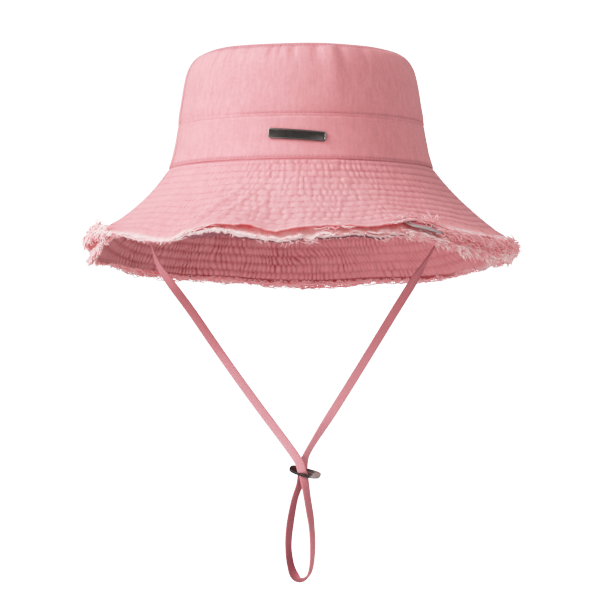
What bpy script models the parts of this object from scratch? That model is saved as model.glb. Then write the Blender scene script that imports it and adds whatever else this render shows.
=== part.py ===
# Bucket hat with a two-layer raw-edged brim, a chin strap and a metal slider.
# Metres, +Z up. The front faces -Y. The origin is the middle of the head
# opening, in the plane of the seam between crown and brim.

import math

import bmesh
import bpy
from mathutils import Euler, Matrix, Vector

# Crown: an oval cut for a 58 cm head
SEAM_HALF_WIDTH = 0.0890
SEAM_HALF_DEPTH = 0.1020
BACK_DIP = 0.0040  # the crown's lower edge sinks this far at the back
# Side view of the crown wall, from the brim seam up: inset from the seam, height
CROWN_PROFILE = (
    (0.0000, 0.0000),
    (0.0034, 0.0120),
    (0.0060, 0.0285),
    (0.0082, 0.0430),
    (0.0108, 0.0580),
    (0.0137, 0.0673),
    (0.0184, 0.0738),
    (0.0246, 0.0774),
)
BAND_HEIGHT = 0.0285
TIP_RISE = 0.0022  # the tip's flat middle above its sewn edge
TIP_FLAT = 0.45  # share of the tip's radius that is flat

# Brim: two layers of cloth over a stiffening layer, quilted together
BRIM_SLANT = 0.0735
BRIM_MARGIN = 0.0145  # raw edge left free beyond the last row of quilting
# Slope below level in degrees: mean, right minus left, back minus front, sides minus ends
SLOPE_AT_SEAM = (56.0, -1.5, 3.5, -0.5)
SLOPE_AT_EDGE = (38.0, 3.5, 18.5, -9.5)
# Waves of the brim edge: direction and half width in degrees, lift
BRIM_WAVES = (
    (234.0, 15.0, -0.0050),
    (250.0, 12.0, 0.0030),
    (264.0, 9.0, -0.0025),
    (296.0, 14.0, 0.0045),
    (328.0, 24.0, -0.0050),
    (38.0, 34.0, -0.0065),
    (90.0, 40.0, -0.0015),
    (146.0, 36.0, -0.0070),
)
# Where the two raw edges part: direction and half width in degrees, distance
TOP_EDGE_LIFTS = (
    (298.0, 22.0, 0.0025),
    (330.0, 28.0, 0.0045),
    (200.0, 20.0, 0.0015),
)
UNDER_EDGE_DROPS = (
    (259.0, 12.0, 0.0035),
    (279.0, 16.0, 0.0045),
    (303.0, 22.0, 0.0095),
    (334.0, 26.0, 0.0100),
    (6.0, 28.0, 0.0075),
    (174.0, 32.0, 0.0070),
)

# Cloth
CANVAS = 0.0009
BRIM_CLOTH = 0.0008
INTERLINING = 0.0004
GAP = 0.0003  # clear space between pieces that touch
LEFT_SEAM = math.radians(194.0)  # side seams, anticlockwise from the right
RIGHT_SEAM = math.radians(386.0)
SWEATBAND_HEIGHT = 0.0300
SWEATBAND_THICK = 0.0010
SWEATBAND_DEPTH = 0.0021  # below the outer face, behind the plate's washers

# Chin strap: flat woven tape
TAPE_WIDTH = 0.0050
TAPE_THICK = 0.0012
HINGE_X = 0.1030  # where the free tape starts, to each side
HINGE_Z = -0.0245
TWIST_SHARE = 0.38  # of a side's length, over which the tape turns to face the front
TAB_START = 0.0020
TAB_END = 0.0240
TAB_DEPTH = 0.0032  # below the brim's upper face
LEFT_ROUTE = (
    (-HINGE_X, 0.0000, HINGE_Z),
    (-0.1028, 0.0000, -0.0340),
    (-0.1016, -0.0002, -0.0480),
    (-0.0962, -0.0005, -0.0640),
    (-0.0870, -0.0009, -0.0775),
    (-0.0740, -0.0013, -0.0950),
    (-0.0540, -0.0017, -0.1240),
    (-0.0330, -0.0020, -0.1540),
    (-0.0130, -0.0022, -0.1825),
    (-0.0052, -0.0022, -0.1925),
    (-0.0013, -0.0022, -0.1980),
    (0.0003, -0.0022, -0.2026),
)
RIGHT_ROUTE = (
    (HINGE_X, 0.0000, HINGE_Z),
    (0.1005, 0.0000, -0.0320),
    (0.0922, 0.0002, -0.0480),
    (0.0795, 0.0006, -0.0700),
    (0.0640, 0.0010, -0.0965),
    (0.0470, 0.0014, -0.1260),
    (0.0290, 0.0018, -0.1570),
    (0.0130, 0.0021, -0.1840),
    (0.0058, 0.0022, -0.1945),
    (0.0018, 0.0022, -0.2018),
)
LOOP_ROUTE = (
    (0.0004, -0.0022, -0.2030),
    (0.0034, -0.0022, -0.2120),
    (0.0068, -0.0016, -0.2260),
    (0.0083, -0.0010, -0.2420),
    (0.0078, -0.0005, -0.2560),
    (0.0050, -0.0002, -0.2690),
    (0.0000, 0.0000, -0.2762),
    (-0.0052, 0.0002, -0.2690),
    (-0.0080, 0.0005, -0.2560),
    (-0.0085, 0.0010, -0.2420),
    (-0.0068, 0.0016, -0.2260),
    (-0.0022, 0.0022, -0.2120),
    (0.0016, 0.0022, -0.2022),
)

# Slider: a flat three-bar glide that both tapes run through
SLIDER_CENTRE = (0.0028, 0.0, -0.2030)
SLIDER_PITCH = 17.0  # degrees, front edge down
SLIDER_ROLL = 17.0  # degrees, right end down
SLIDER_LENGTH = 0.0218
SLIDER_DEPTH = 0.0100
SLIDER_THICK = 0.0016
SLIDER_EDGE = 0.0003
SLIDER_FULLNESS = 2.5  # 2 gives an ellipse, more gives squarer shoulders
SLOT_LENGTH = 0.0126
SLOT_DEPTH = 0.0030
SLOT_BAR = 0.0014

# Plain bar plate on the front of the band, with two posts and washers
PLATE_LENGTH = 0.0370
PLATE_HEIGHT = 0.0066
PLATE_THICK = 0.0016
PLATE_EDGE = 0.0004
PLATE_MIDDLE = 0.0160  # up the band from the brim seam
PLATE_SHIFT = -0.0025  # towards the wearer's right
PLATE_TILT = 4.0  # degrees, right end down
POST_SPACING = 0.0240
POST_RADIUS = 0.0008
POST_HOLE = 0.0011
POST_END = 0.0018  # below the band's outer face
WASHER_RADIUS = 0.0030
WASHER_THICK = 0.0005
WASHER_DEPTH = 0.0012

# Facets
HALF_STEPS = 36  # round half of the hat
WALL_STEPS = 6
BAND_STEPS = 2
BRIM_STEPS = 7
INTERLINING_STEPS = 6  # of the brim's steps, so the stiffening layer stops inside the raw edge
TIP_STEPS = 3
TAPE_SIDES = 8
TAPE_STEP = 0.0080
TAPE_END_DEGREES = (80.0, 55.0, 25.0)  # rings of a rounded end
TAB_STEPS = (2, 4)
PLATE_STEPS = (8, 1)
ROUND_SIDES = 16
CURVE_STEPS = 40  # between two points of a route, when its length is measured
NORMAL_STEP = 0.002  # step for measuring which way a surface faces
MERGE = 1e-6
SHADE_ANGLE = math.radians(35.0)
BEVEL_ANGLE = math.radians(50.0)

# Angles that each panel covers
SEAM_GAP = GAP / SEAM_HALF_WIDTH
FRONT_ARC = (LEFT_SEAM + SEAM_GAP / 2, RIGHT_SEAM - SEAM_GAP / 2)
BACK_ARC = (RIGHT_SEAM + SEAM_GAP / 2, LEFT_SEAM + 2 * math.pi - SEAM_GAP / 2)
WHOLE_TURN = (math.pi / 2, 5 * math.pi / 2)


def clear_scene():
    for obj in list(bpy.data.objects):
        bpy.data.objects.remove(obj, do_unlink=True)


def linear_rgb(hex_colour):
    channels = [int(hex_colour[i:i + 2], 16) / 255 for i in (1, 3, 5)]
    return [c / 12.92 if c <= 0.04045 else ((c + 0.055) / 1.055) ** 2.4 for c in channels]


def material(name, hex_colour, roughness, metallic=0.0):
    made = bpy.data.materials.new(name)
    made.use_nodes = True
    shader = made.node_tree.nodes["Principled BSDF"]
    shader.inputs["Base Color"].default_value = (*linear_rgb(hex_colour), 1.0)
    shader.inputs["Roughness"].default_value = roughness
    shader.inputs["Metallic"].default_value = metallic
    return made


def smooth(share):
    share = min(max(share, 0.0), 1.0)
    return share * share * (3.0 - 2.0 * share)


def ripple(angle, bumps):
    # Sum of rounded bumps, each at its own direction round the hat
    total = 0.0
    for centre, half_width, height in bumps:
        away = (math.degrees(angle) - centre + 180.0) % 360.0 - 180.0
        if abs(away) < half_width:
            total += height * 0.5 * (1.0 + math.cos(math.pi * away / half_width))
    return total


def spline_point(points, place):
    # Smooth curve through the points; place counts points, 0 at the first
    last = len(points) - 1
    index = min(int(place), last - 1)
    t = place - index
    before = Vector(points[max(index - 1, 0)])
    start = Vector(points[index])
    end = Vector(points[index + 1])
    after = Vector(points[min(index + 2, last)])
    return 0.5 * (
        2.0 * start
        + (end - before) * t
        + (2.0 * before - 5.0 * start + 4.0 * end - after) * t * t
        + (3.0 * start - before - 3.0 * end + after) * t ** 3
    )


def profile_place(height):
    # Place along the crown profile at this height
    for index in range(len(CROWN_PROFILE) - 1):
        low = CROWN_PROFILE[index][1]
        high = CROWN_PROFILE[index + 1][1]
        if height <= high:
            return index + (height - low) / (high - low)
    return len(CROWN_PROFILE) - 1.0


def seam_dip(angle):
    return BACK_DIP * smooth(max(math.sin(angle), 0.0))


def crown_wall(angle, height):
    inset, rise = spline_point(CROWN_PROFILE, profile_place(height))
    sink = seam_dip(angle) * (1.0 - smooth(height / CROWN_PROFILE[-1][1]))
    return Vector((
        (SEAM_HALF_WIDTH - inset) * math.cos(angle),
        (SEAM_HALF_DEPTH - inset) * math.sin(angle),
        rise - sink,
    ))


def crown_tip(angle, inward):
    # inward is 0 at the sewn edge and 1 in the middle
    edge_inset, edge_height = CROWN_PROFILE[-1]
    across = (1.0 - inward) * (SEAM_HALF_WIDTH - edge_inset - CANVAS)
    along = (1.0 - inward) * (SEAM_HALF_DEPTH - edge_inset - CANVAS)
    rise = TIP_RISE * smooth(inward / (1.0 - TIP_FLAT))
    return Vector((across * math.cos(angle), along * math.sin(angle), edge_height + rise))


def slope(angle, terms):
    mean, side, end, oval = terms
    return math.radians(
        mean + side * math.cos(angle) + end * math.sin(angle) + oval * math.cos(2.0 * angle)
    )


def brim_middle(angle, run):
    # run is the distance down the brim from the seam
    share = run / BRIM_SLANT
    start = slope(angle, SLOPE_AT_SEAM)
    bend = slope(angle, SLOPE_AT_EDGE) - start
    here = start + bend * share
    out = BRIM_SLANT * (math.sin(here) - math.sin(start)) / bend
    down = BRIM_SLANT * (math.cos(start) - math.cos(here)) / bend
    wave = ripple(angle, BRIM_WAVES) * share * share
    outward = Vector((
        math.cos(angle) / SEAM_HALF_WIDTH,
        math.sin(angle) / SEAM_HALF_DEPTH,
        0.0,
    )).normalized()
    seam = Vector((
        SEAM_HALF_WIDTH * math.cos(angle),
        SEAM_HALF_DEPTH * math.sin(angle),
        -seam_dip(angle),
    ))
    return seam + outward * out + Vector((0.0, 0.0, wave - down))


def margin(run):
    return smooth((run - BRIM_SLANT + BRIM_MARGIN) / BRIM_MARGIN)


def brim_top(angle, run):
    point = brim_middle(angle, run)
    point.z += ripple(angle, TOP_EDGE_LIFTS) * margin(run)
    return point


def brim_under(angle, run):
    point = brim_middle(angle, run)
    point.z -= ripple(angle, UNDER_EDGE_DROPS) * margin(run)
    return point


def outward_normal(surface, u, v, u_step, v_step):
    along_u = surface(u + u_step, v) - surface(u - u_step, v)
    along_v = surface(u, v + v_step) - surface(u, v - v_step)
    return along_u.cross(along_v).normalized()


def new_object(name, bm, made_of, parent):
    mesh = bpy.data.meshes.new(name)
    bm.to_mesh(mesh)
    bm.free()
    mesh.shade_smooth()
    mesh.set_sharp_from_angle(angle=SHADE_ANGLE)
    obj = bpy.data.objects.new(name, mesh)
    bpy.context.scene.collection.objects.link(obj)
    obj.data.materials.append(made_of)
    if parent is not None:
        obj.parent = parent
        obj.matrix_parent_inverse = parent.matrix_world.inverted()
    return obj


def thicken(obj, thickness):
    shell = obj.modifiers.new("thickness", "SOLIDIFY")
    shell.thickness = thickness
    shell.offset = -1.0
    shell.use_even_offset = True
    return obj


def cut(obj, cutter):
    hole = obj.modifiers.new("hole", "BOOLEAN")
    hole.operation = "DIFFERENCE"
    hole.object = cutter


def panel(name, surface, u_range, v_range, steps, depth, thickness, made_of, parent):
    # Cloth panel: a grid laid on the surface, sunk by depth, with its thickness inwards.
    # u runs anticlockwise and v upwards or inwards, so that the faces point out.
    bm = bmesh.new()
    bmesh.ops.create_grid(bm, x_segments=steps[0], y_segments=steps[1], size=1.0)
    v_step = (v_range[1] - v_range[0]) * NORMAL_STEP
    for vert in bm.verts:
        u = u_range[0] + (u_range[1] - u_range[0]) * (vert.co.x + 1.0) / 2.0
        v = v_range[0] + (v_range[1] - v_range[0]) * (vert.co.y + 1.0) / 2.0
        normal = Vector((0.0, 0.0, 0.0))
        if depth:
            normal = outward_normal(surface, u, v, NORMAL_STEP, abs(v_step))
            normal *= math.copysign(1.0, v_step)
        vert.co = surface(u, v) - normal * depth
    bmesh.ops.remove_doubles(bm, verts=bm.verts, dist=MERGE)
    return thicken(new_object(name, bm, made_of, parent), thickness)


def route_frames(points, step):
    # Even places along the smooth curve through the points, with their directions
    fine = CURVE_STEPS * (len(points) - 1)
    dense = [spline_point(points, i * (len(points) - 1) / fine) for i in range(fine + 1)]
    walked = [0.0]
    for before, after in zip(dense, dense[1:]):
        walked.append(walked[-1] + (after - before).length)
    count = max(2, round(walked[-1] / step))
    frames = []
    index = 0
    for i in range(count + 1):
        target = walked[-1] * i / count
        while index < fine - 1 and walked[index + 1] < target:
            index += 1
        share = (target - walked[index]) / (walked[index + 1] - walked[index])
        centre = dense[index].lerp(dense[index + 1], share)
        direction = dense[min(index + 2, fine)] - dense[max(index - 1, 0)]
        frames.append((target, centre, direction.normalized()))
    return frames, walked[-1]


def ring_matrix(centre, direction, turn, half_width):
    # Placing matrix of one tape section; turn 0 lays the width along Y
    across = Vector((0.0, 1.0, 0.0)).cross(direction).normalized()
    width = Matrix.Rotation(turn, 3, direction) @ direction.cross(across)
    face = direction.cross(width)
    placed = Matrix((width, face, direction)).transposed().to_4x4()
    placed.translation = centre
    return placed @ Matrix.Diagonal((half_width, TAPE_THICK / 2, 1.0, 1.0))


def rounded_end(ring):
    # Half round end centred on the hinge axis, so that it turns in its own space
    centre, direction, turn, half = ring
    lead = []
    for degrees in TAPE_END_DEGREES:
        back = half * math.sin(math.radians(degrees))
        narrow = half * math.cos(math.radians(degrees))
        lead.append((centre - direction * back, direction, turn, narrow))
    return lead


def tape(name, points, turn_at, round_start, made_of, parent):
    # Flat tape swept along its route, ring by ring, twisting by turn_at(distance, length)
    frames, length = route_frames(points, TAPE_STEP)
    rings = [(c, d, turn_at(s, length), TAPE_WIDTH / 2) for s, c, d in frames]
    if round_start:
        rings = rounded_end(rings[0]) + rings
    bm = bmesh.new()
    first = ring_matrix(*rings[0])
    bmesh.ops.create_circle(bm, cap_ends=True, segments=TAPE_SIDES, radius=1.0, matrix=first)
    cap = bm.faces[:]
    before = first
    for index, ring in enumerate(rings[1:]):
        placed = ring_matrix(*ring)
        made = bmesh.ops.extrude_face_region(bm, geom=cap)["geom"]
        if index:
            bmesh.ops.delete(bm, geom=cap, context="FACES_ONLY")
        verts = [g for g in made if isinstance(g, bmesh.types.BMVert)]
        cap = [g for g in made if isinstance(g, bmesh.types.BMFace)]
        bmesh.ops.transform(bm, matrix=placed @ before.inverted(), verts=verts)
        before = placed
    bmesh.ops.recalc_face_normals(bm, faces=bm.faces)
    print(f"{name}: {length * 1000:.0f} mm long")
    return new_object(name, bm, made_of, parent)


def closed_spline(curve, points):
    spline = curve.splines.new("POLY")
    spline.points.add(len(points) - 1)
    for slot, (x, y) in zip(spline.points, points):
        slot.co = (x, y, 0.0, 1.0)
    spline.use_cyclic_u = True


def slot_outline(middle_y):
    # Slot with round ends, as two half circles
    radius = SLOT_DEPTH / 2
    reach = SLOT_LENGTH / 2 - radius
    steps = ROUND_SIDES // 2
    points = []
    for side in (1.0, -1.0):
        for i in range(steps + 1):
            angle = -math.pi / 2 + math.pi * i / steps
            points.append((
                side * (reach + radius * math.cos(angle)),
                middle_y + side * radius * math.sin(angle),
            ))
    return points


def slider(made_of, parent):
    outline = []
    for i in range(3 * ROUND_SIDES):
        angle = 2.0 * math.pi * i / (3 * ROUND_SIDES)
        c = math.cos(angle)
        s = math.sin(angle)
        outline.append((
            SLIDER_LENGTH / 2 * math.copysign(abs(c) ** (2.0 / SLIDER_FULLNESS), c),
            SLIDER_DEPTH / 2 * math.copysign(abs(s) ** (2.0 / SLIDER_FULLNESS), s),
        ))
    curve = bpy.data.curves.new("slider", "CURVE")
    curve.dimensions = "2D"
    curve.fill_mode = "BOTH"
    curve.extrude = SLIDER_THICK / 2 - SLIDER_EDGE
    curve.bevel_depth = SLIDER_EDGE
    curve.bevel_resolution = 1
    curve.offset = -SLIDER_EDGE
    closed_spline(curve, outline)
    for side in (-1.0, 1.0):
        closed_spline(curve, slot_outline(side * (SLOT_BAR + SLOT_DEPTH) / 2))
    obj = bpy.data.objects.new("slider", curve)
    bpy.context.scene.collection.objects.link(obj)
    curve.materials.append(made_of)
    obj.parent = parent
    obj.matrix_parent_inverse = parent.matrix_world.inverted()
    obj.location = SLIDER_CENTRE
    obj.rotation_euler = Euler((math.radians(SLIDER_PITCH), math.radians(SLIDER_ROLL), 0.0))
    return obj


def plate_surface(along, up):
    # Point of the band's outer face, measured from the plate's middle in the tilted plate's axes
    tilt = math.radians(-PLATE_TILT)
    across = PLATE_SHIFT + along * math.cos(tilt) - up * math.sin(tilt)
    height = PLATE_MIDDLE + along * math.sin(tilt) + up * math.cos(tilt)
    half_width = crown_wall(0.0, height).x
    return crown_wall(math.radians(270.0) + across / half_width, height)


def pin(name, end, start, radius, sides, made_of, parent):
    # Round pin between two points
    axis = start - end
    bm = bmesh.new()
    place = Matrix.Translation((start + end) / 2) @ axis.to_track_quat("Z", "Y").to_matrix().to_4x4()
    bmesh.ops.create_cone(
        bm, cap_ends=True, segments=sides, radius1=radius, radius2=radius,
        depth=axis.length, matrix=place,
    )
    return new_object(name, bm, made_of, parent)


def helper(obj):
    obj.hide_render = True
    obj.display_type = "WIRE"
    return obj


def empty(name, location):
    obj = bpy.data.objects.new(name, None)
    obj.location = location
    bpy.context.scene.collection.objects.link(obj)
    bpy.context.view_layer.update()
    return obj


def build_crown(canvas, webbing, hat):
    top = CROWN_PROFILE[-1][1]
    walls = {}
    for side, arc in (("front", FRONT_ARC), ("back", BACK_ARC)):
        steps = (HALF_STEPS, WALL_STEPS)
        heights = (BAND_HEIGHT + GAP, top)
        panel(f"crown_{side}_panel", crown_wall, arc, heights, steps, 0.0, CANVAS, canvas, hat)
        steps = (HALF_STEPS, BAND_STEPS)
        heights = (GAP, BAND_HEIGHT)
        walls[side] = panel(
            f"band_{side}", crown_wall, arc, heights, steps, 0.0, CANVAS, canvas, hat
        )
    steps = (2 * HALF_STEPS, TIP_STEPS)
    panel("crown_tip", crown_tip, WHOLE_TURN, (0.0, 1.0), steps, 0.0, CANVAS, canvas, hat)
    steps = (2 * HALF_STEPS, BAND_STEPS)
    panel(
        "sweatband", crown_wall, WHOLE_TURN, (GAP, SWEATBAND_HEIGHT), steps,
        SWEATBAND_DEPTH, SWEATBAND_THICK, webbing, hat,
    )
    return walls["front"]


def build_brim(canvas, under_canvas, stiffener, hat):
    steps = (HALF_STEPS, BRIM_STEPS)
    run = (BRIM_SLANT, 0.0)
    inner_run = (BRIM_SLANT * INTERLINING_STEPS / BRIM_STEPS, 0.0)
    inner_steps = (HALF_STEPS, INTERLINING_STEPS)
    inner_depth = BRIM_CLOTH + GAP
    under_depth = inner_depth + INTERLINING + GAP
    for side, arc in (("front", FRONT_ARC), ("back", BACK_ARC)):
        panel(f"brim_top_{side}", brim_top, arc, run, steps, 0.0, BRIM_CLOTH, canvas, hat)
        panel(
            f"brim_interlining_{side}", brim_middle, arc, inner_run, inner_steps,
            inner_depth, INTERLINING, stiffener, hat,
        )
        panel(
            f"brim_under_{side}", brim_under, arc, run, steps,
            under_depth, BRIM_CLOTH, under_canvas, hat,
        )


def build_strap(webbing, hat, strap):
    # The sewn ends lie under the brim at each side, and the free tape starts below them
    half_angle = TAPE_WIDTH / 2 / SEAM_HALF_DEPTH
    for side, middle in (("left", math.pi), ("right", 2.0 * math.pi)):
        arc = (middle - half_angle, middle + half_angle)
        panel(
            f"{side}_strap_tab", brim_middle, arc, (TAB_END, TAB_START), TAB_STEPS,
            TAB_DEPTH, TAPE_THICK, webbing, hat,
        )

    def side_turn(walked, length):
        return math.pi / 2 * smooth(walked / (TWIST_SHARE * length))

    def loop_turn(walked, length):
        return math.pi / 2 * (1.0 - smooth(1.0 - abs(2.0 * walked / length - 1.0)))

    tape("chin_strap_left", LEFT_ROUTE, side_turn, True, webbing, strap)
    tape("chin_strap_right", RIGHT_ROUTE, side_turn, True, webbing, strap)
    tape("chin_strap_loop", LOOP_ROUTE, loop_turn, False, webbing, strap)


def build_plate(metal, band, hat):
    half = (PLATE_LENGTH / 2, PLATE_HEIGHT / 2)
    plate = panel(
        "front_plate", plate_surface, (-half[0], half[0]), (-half[1], half[1]), PLATE_STEPS,
        -GAP - PLATE_THICK, PLATE_THICK, metal, hat,
    )
    edge = plate.modifiers.new("edge", "BEVEL")
    edge.width = PLATE_EDGE
    edge.segments = 2
    edge.limit_method = "ANGLE"
    edge.angle_limit = BEVEL_ANGLE
    for side, along in (("left", -POST_SPACING / 2), ("right", POST_SPACING / 2)):
        face = plate_surface(along, 0.0)
        out = outward_normal(plate_surface, along, 0.0, NORMAL_STEP, NORMAL_STEP)
        buried = face + out * (GAP + PLATE_THICK / 2)
        post = helper(pin(
            f"post_{side}", face - out * POST_END, buried, POST_RADIUS, ROUND_SIDES, metal, hat
        ))
        joined = plate.modifiers.new("post", "BOOLEAN")
        joined.operation = "UNION"
        joined.object = post
        through = face - out * 2.0 * POST_END
        hole = helper(pin(
            f"post_hole_{side}", through, buried, POST_HOLE, ROUND_SIDES, metal, hat
        ))
        cut(band, hole)
        washer = pin(
            f"plate_washer_{side}", face - out * (WASHER_DEPTH + WASHER_THICK),
            face - out * WASHER_DEPTH, WASHER_RADIUS, ROUND_SIDES, metal, hat,
        )
        cut(washer, hole)


def main():
    clear_scene()
    canvas = material("pink canvas", "#E39BA4", 0.9)
    under_canvas = material("pink canvas, shaded side", "#D98C96", 0.9)
    stiffener = material("grey interlining", "#CBC3C2", 0.95)
    webbing = material("pink cotton tape", "#D98A95", 0.85)
    metal = material("gunmetal", "#5A5452", 0.3, 1.0)
    hat = empty("hat", (0.0, 0.0, 0.0))
    strap = empty("chin_strap", (0.0, 0.0, HINGE_Z))
    band = build_crown(canvas, webbing, hat)
    build_brim(canvas, under_canvas, stiffener, hat)
    build_strap(webbing, hat, strap)
    slider(metal, strap)
    build_plate(metal, band, hat)


main()
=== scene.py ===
import math

import bmesh
import bpy
import numpy as np
from mathutils import Euler, Matrix, Vector


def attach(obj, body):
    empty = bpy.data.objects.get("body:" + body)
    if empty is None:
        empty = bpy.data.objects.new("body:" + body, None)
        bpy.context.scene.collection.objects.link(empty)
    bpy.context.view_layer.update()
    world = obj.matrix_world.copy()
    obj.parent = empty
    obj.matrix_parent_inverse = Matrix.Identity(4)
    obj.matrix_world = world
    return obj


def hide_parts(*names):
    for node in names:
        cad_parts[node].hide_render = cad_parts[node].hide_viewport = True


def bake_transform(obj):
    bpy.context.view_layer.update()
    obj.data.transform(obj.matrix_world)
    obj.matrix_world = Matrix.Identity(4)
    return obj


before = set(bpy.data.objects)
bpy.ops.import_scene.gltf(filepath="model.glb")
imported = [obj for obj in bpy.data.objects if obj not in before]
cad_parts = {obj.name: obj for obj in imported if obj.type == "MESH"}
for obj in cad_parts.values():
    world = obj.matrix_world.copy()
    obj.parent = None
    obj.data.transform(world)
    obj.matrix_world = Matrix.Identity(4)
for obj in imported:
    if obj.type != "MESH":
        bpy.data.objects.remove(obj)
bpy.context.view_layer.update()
scene = bpy.context.scene
mm = 0.001


def show(obj, place=None, aim=None):  # put in the scene, and set up to look at a point if there is one
    scene.collection.objects.link(obj)
    if aim:
        obj.location = place
        obj.rotation_mode = "QUATERNION"
        obj.rotation_quaternion = (Vector(aim) - Vector(place)).to_track_quat("-Z", "Y")
    return obj


# camera first: long lens, a little below the brim, looking slightly up
cameraSet = {"place": (-0.0007, -2, -0.144), "aim": (-0.0007, 0, -0.0876), "lens": 178, "far": 30}
camera = bpy.data.cameras.new("photoCamera")
camera.lens = cameraSet["lens"]
camera.clip_end = cameraSet["far"]
scene.camera = show(bpy.data.objects.new("photoCamera", camera), cameraSet["place"], cameraSet["aim"])


def linear(code):
    channels = [int(code[i:i + 2], 16) / 255 for i in (1, 3, 5)]
    return (*[c / 12.92 if c <= 0.04045 else ((c + 0.055) / 1.055) ** 2.4 for c in channels], 1)


def feed(tree, node, settings):  # properties and sockets by name, a socket also takes another node's output
    for key, value in settings.items():
        if isinstance(value, bpy.types.NodeSocket):
            tree.links.new(value, node.inputs[key])
        elif isinstance(key, int) or key in node.inputs:
            node.inputs[key].default_value = value
        else:
            setattr(node, key, value)


def addNode(tree, kind, out, settings=()):
    made = tree.nodes.new("ShaderNode" + kind)
    feed(tree, made, dict(settings))
    return made.outputs[out]


def addNoise(tree, place, size, detail, roughness=0.5):
    settings = {"Vector": place, "Scale": 1 / size, "Detail": detail, "Roughness": roughness}
    return addNode(tree, "TexNoise", "Fac", settings)


def addMix(tree, first, second, share):  # each colour is a code or another node's output
    first, second = [linear(c) if isinstance(c, str) else c for c in (first, second)]
    return addNode(tree, "Mix", "Result", {"data_type": "RGBA", "A": first, "B": second, "Factor": share})


def addMath(tree, operation, *terms):
    return addNode(tree, "Math", "Value", {"operation": operation, **dict(enumerate(terms))})


def addRange(tree, value, start, end, low, high):
    settings = {"Value": value, "From Min": start, "From Max": end, "To Min": low, "To Max": high}
    return addNode(tree, "MapRange", "Result", settings)


def addBump(tree, height, strength, depth):
    return addNode(tree, "Bump", "Normal", {"Height": height, "Strength": strength, "Distance": depth})


def newMaterial(name, settings):
    made = bpy.data.materials.new(name)
    made.use_nodes = True
    shader = made.node_tree.nodes["Principled BSDF"]
    feed(made.node_tree, shader, settings)
    return made, made.node_tree, shader


def wovenCotton(name, finish):
    # plain woven cotton: matt, a faint grid of threads, uneven washed dye, painted shade where the crease mark is set
    # (creases, grooves, seams), pale at a raw edge
    made, tree, shader = newMaterial(name, {
        "Roughness": finish["roughness"], "Sheen Weight": finish["sheen"], "Sheen Roughness": 0.45,
        "Sheen Tint": linear(finish["fluff"]), "Specular IOR Level": 0.15,
    })
    cloth = addNode(tree, "UVMap", "UV", {"uv_map": "cloth"})
    place = addNode(tree, "TexCoord", "Object")
    crease, frayed = [addNode(tree, "Attribute", "Fac", {"attribute_name": mark}) for mark in ("crease", "frayed")]
    oneThread = 2 * math.pi / 20 / finish["thread"]  # wave scale
    wave = {"Vector": cloth, "Scale": oneThread, "Distortion": 1.2, "Detail Scale": 2}
    warp, weft = [addNode(tree, "TexWave", "Fac", dict(wave, bands_direction=axis)) for axis in ("X", "Y")]
    fuzz = addNoise(tree, place, 2.2 * mm, 4)
    drawn = addNode(tree, "Mapping", "Vector", {"Vector": cloth, "Scale": (1, 0.22, 1)})
    grain = addMath(tree, "ADD", fuzz, addNoise(tree, drawn, 2.6 * mm, 1))
    speck = addRange(tree, grain, 0.7, 1.3, 1 - finish["speck"], 1 + finish["speck"])
    washed = addMix(tree, finish["deep"], finish["pale"], addNoise(tree, place, 14 * mm, 4, 0.6))
    dyed = addNode(tree, "VectorMath", "Vector", {"operation": "SCALE", "Vector": washed, "Scale": speck})
    edged = addMix(tree, addMix(tree, dyed, finish["paintedShadeColour"], crease), finish["fluff"], frayed)
    high = addMath(tree, "ADD", addMath(tree, "ADD", warp, weft), fuzz)
    feed(tree, shader, {"Base Color": edged, "Normal": addBump(tree, high, finish["bump"], 0.2 * mm)})
    if "glow" in finish:  # painted glow: an emission that stands in for light coming through the thin cloth and bouncing in the gap
        glow = addMix(tree, finish["glow"], finish["fluff"], frayed)
        feed(tree, shader, {"Emission Color": glow, "Emission Strength": finish["glowing"]})
    return made


# the threads are really 0.5 mm apart, drawn at 1.2 mm so that a trace of the weave shows
# paintedShadeColour here and below is painted shade: the colour the cloth takes in its creases, grooves and seams
canvasFinish = {
    "deep": "#E28F94", "pale": "#EA9CA0", "paintedShadeColour": "#B96F77", "fluff": "#F5DAD8", "thread": 1.2 * mm,
    "roughness": 0.9, "sheen": 0.25, "speck": 0.085, "bump": 0.2,
}
canvas = wovenCotton("washed pink cotton canvas", canvasFinish)
# painted shade: deep red pucker valleys under the brim stand in for shaded, pink-lit hollows
facingCanvas = wovenCotton("washed pink cotton canvas under the brim", dict(canvasFinish, paintedShadeColour="#A3222D"))
# painted shade: a deep red for the shaded gap between the brim layers, with a painted glow
gapShadeCanvas = wovenCotton("deep red canvas painted as shade inside the brim", dict(
    canvasFinish, deep="#DE4A57", pale="#E65F69", paintedShadeColour="#B03440", glow="#E8303C", glowing=0.1,
))
# painted shade: the rolled edge's underside is coloured dark for the shade under the white rim
shadedRollCanvas = wovenCotton("pink canvas painted in shade at the rolled edge", dict(
    canvasFinish, deep="#7E474F", pale="#8E555D", fluff="#F2D0CF",
))
# on the straps paintedShadeColour is painted shade and fluff is painted light, set by share of the length
tapeCloth = wovenCotton("pink herringbone cotton tape", dict(
    canvasFinish, deep="#E28C93", pale="#EA9CA2", paintedShadeColour="#8E3A46", fluff="#FFB4BC",
    thread=0.9 * mm, bump=0.15, sheen=0.2, speck=0.03,
))
# paintedShadeColour is painted shade: the deep red of the shaded gap, laid on the interlining away from its edge
stiffener = wovenCotton("grey cotton interlining", dict(
    canvasFinish, deep="#BBB0B0", pale="#C9BFBF", paintedShadeColour="#D8606C", fluff="#DAD5D5", sheen=0.1,
))


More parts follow.
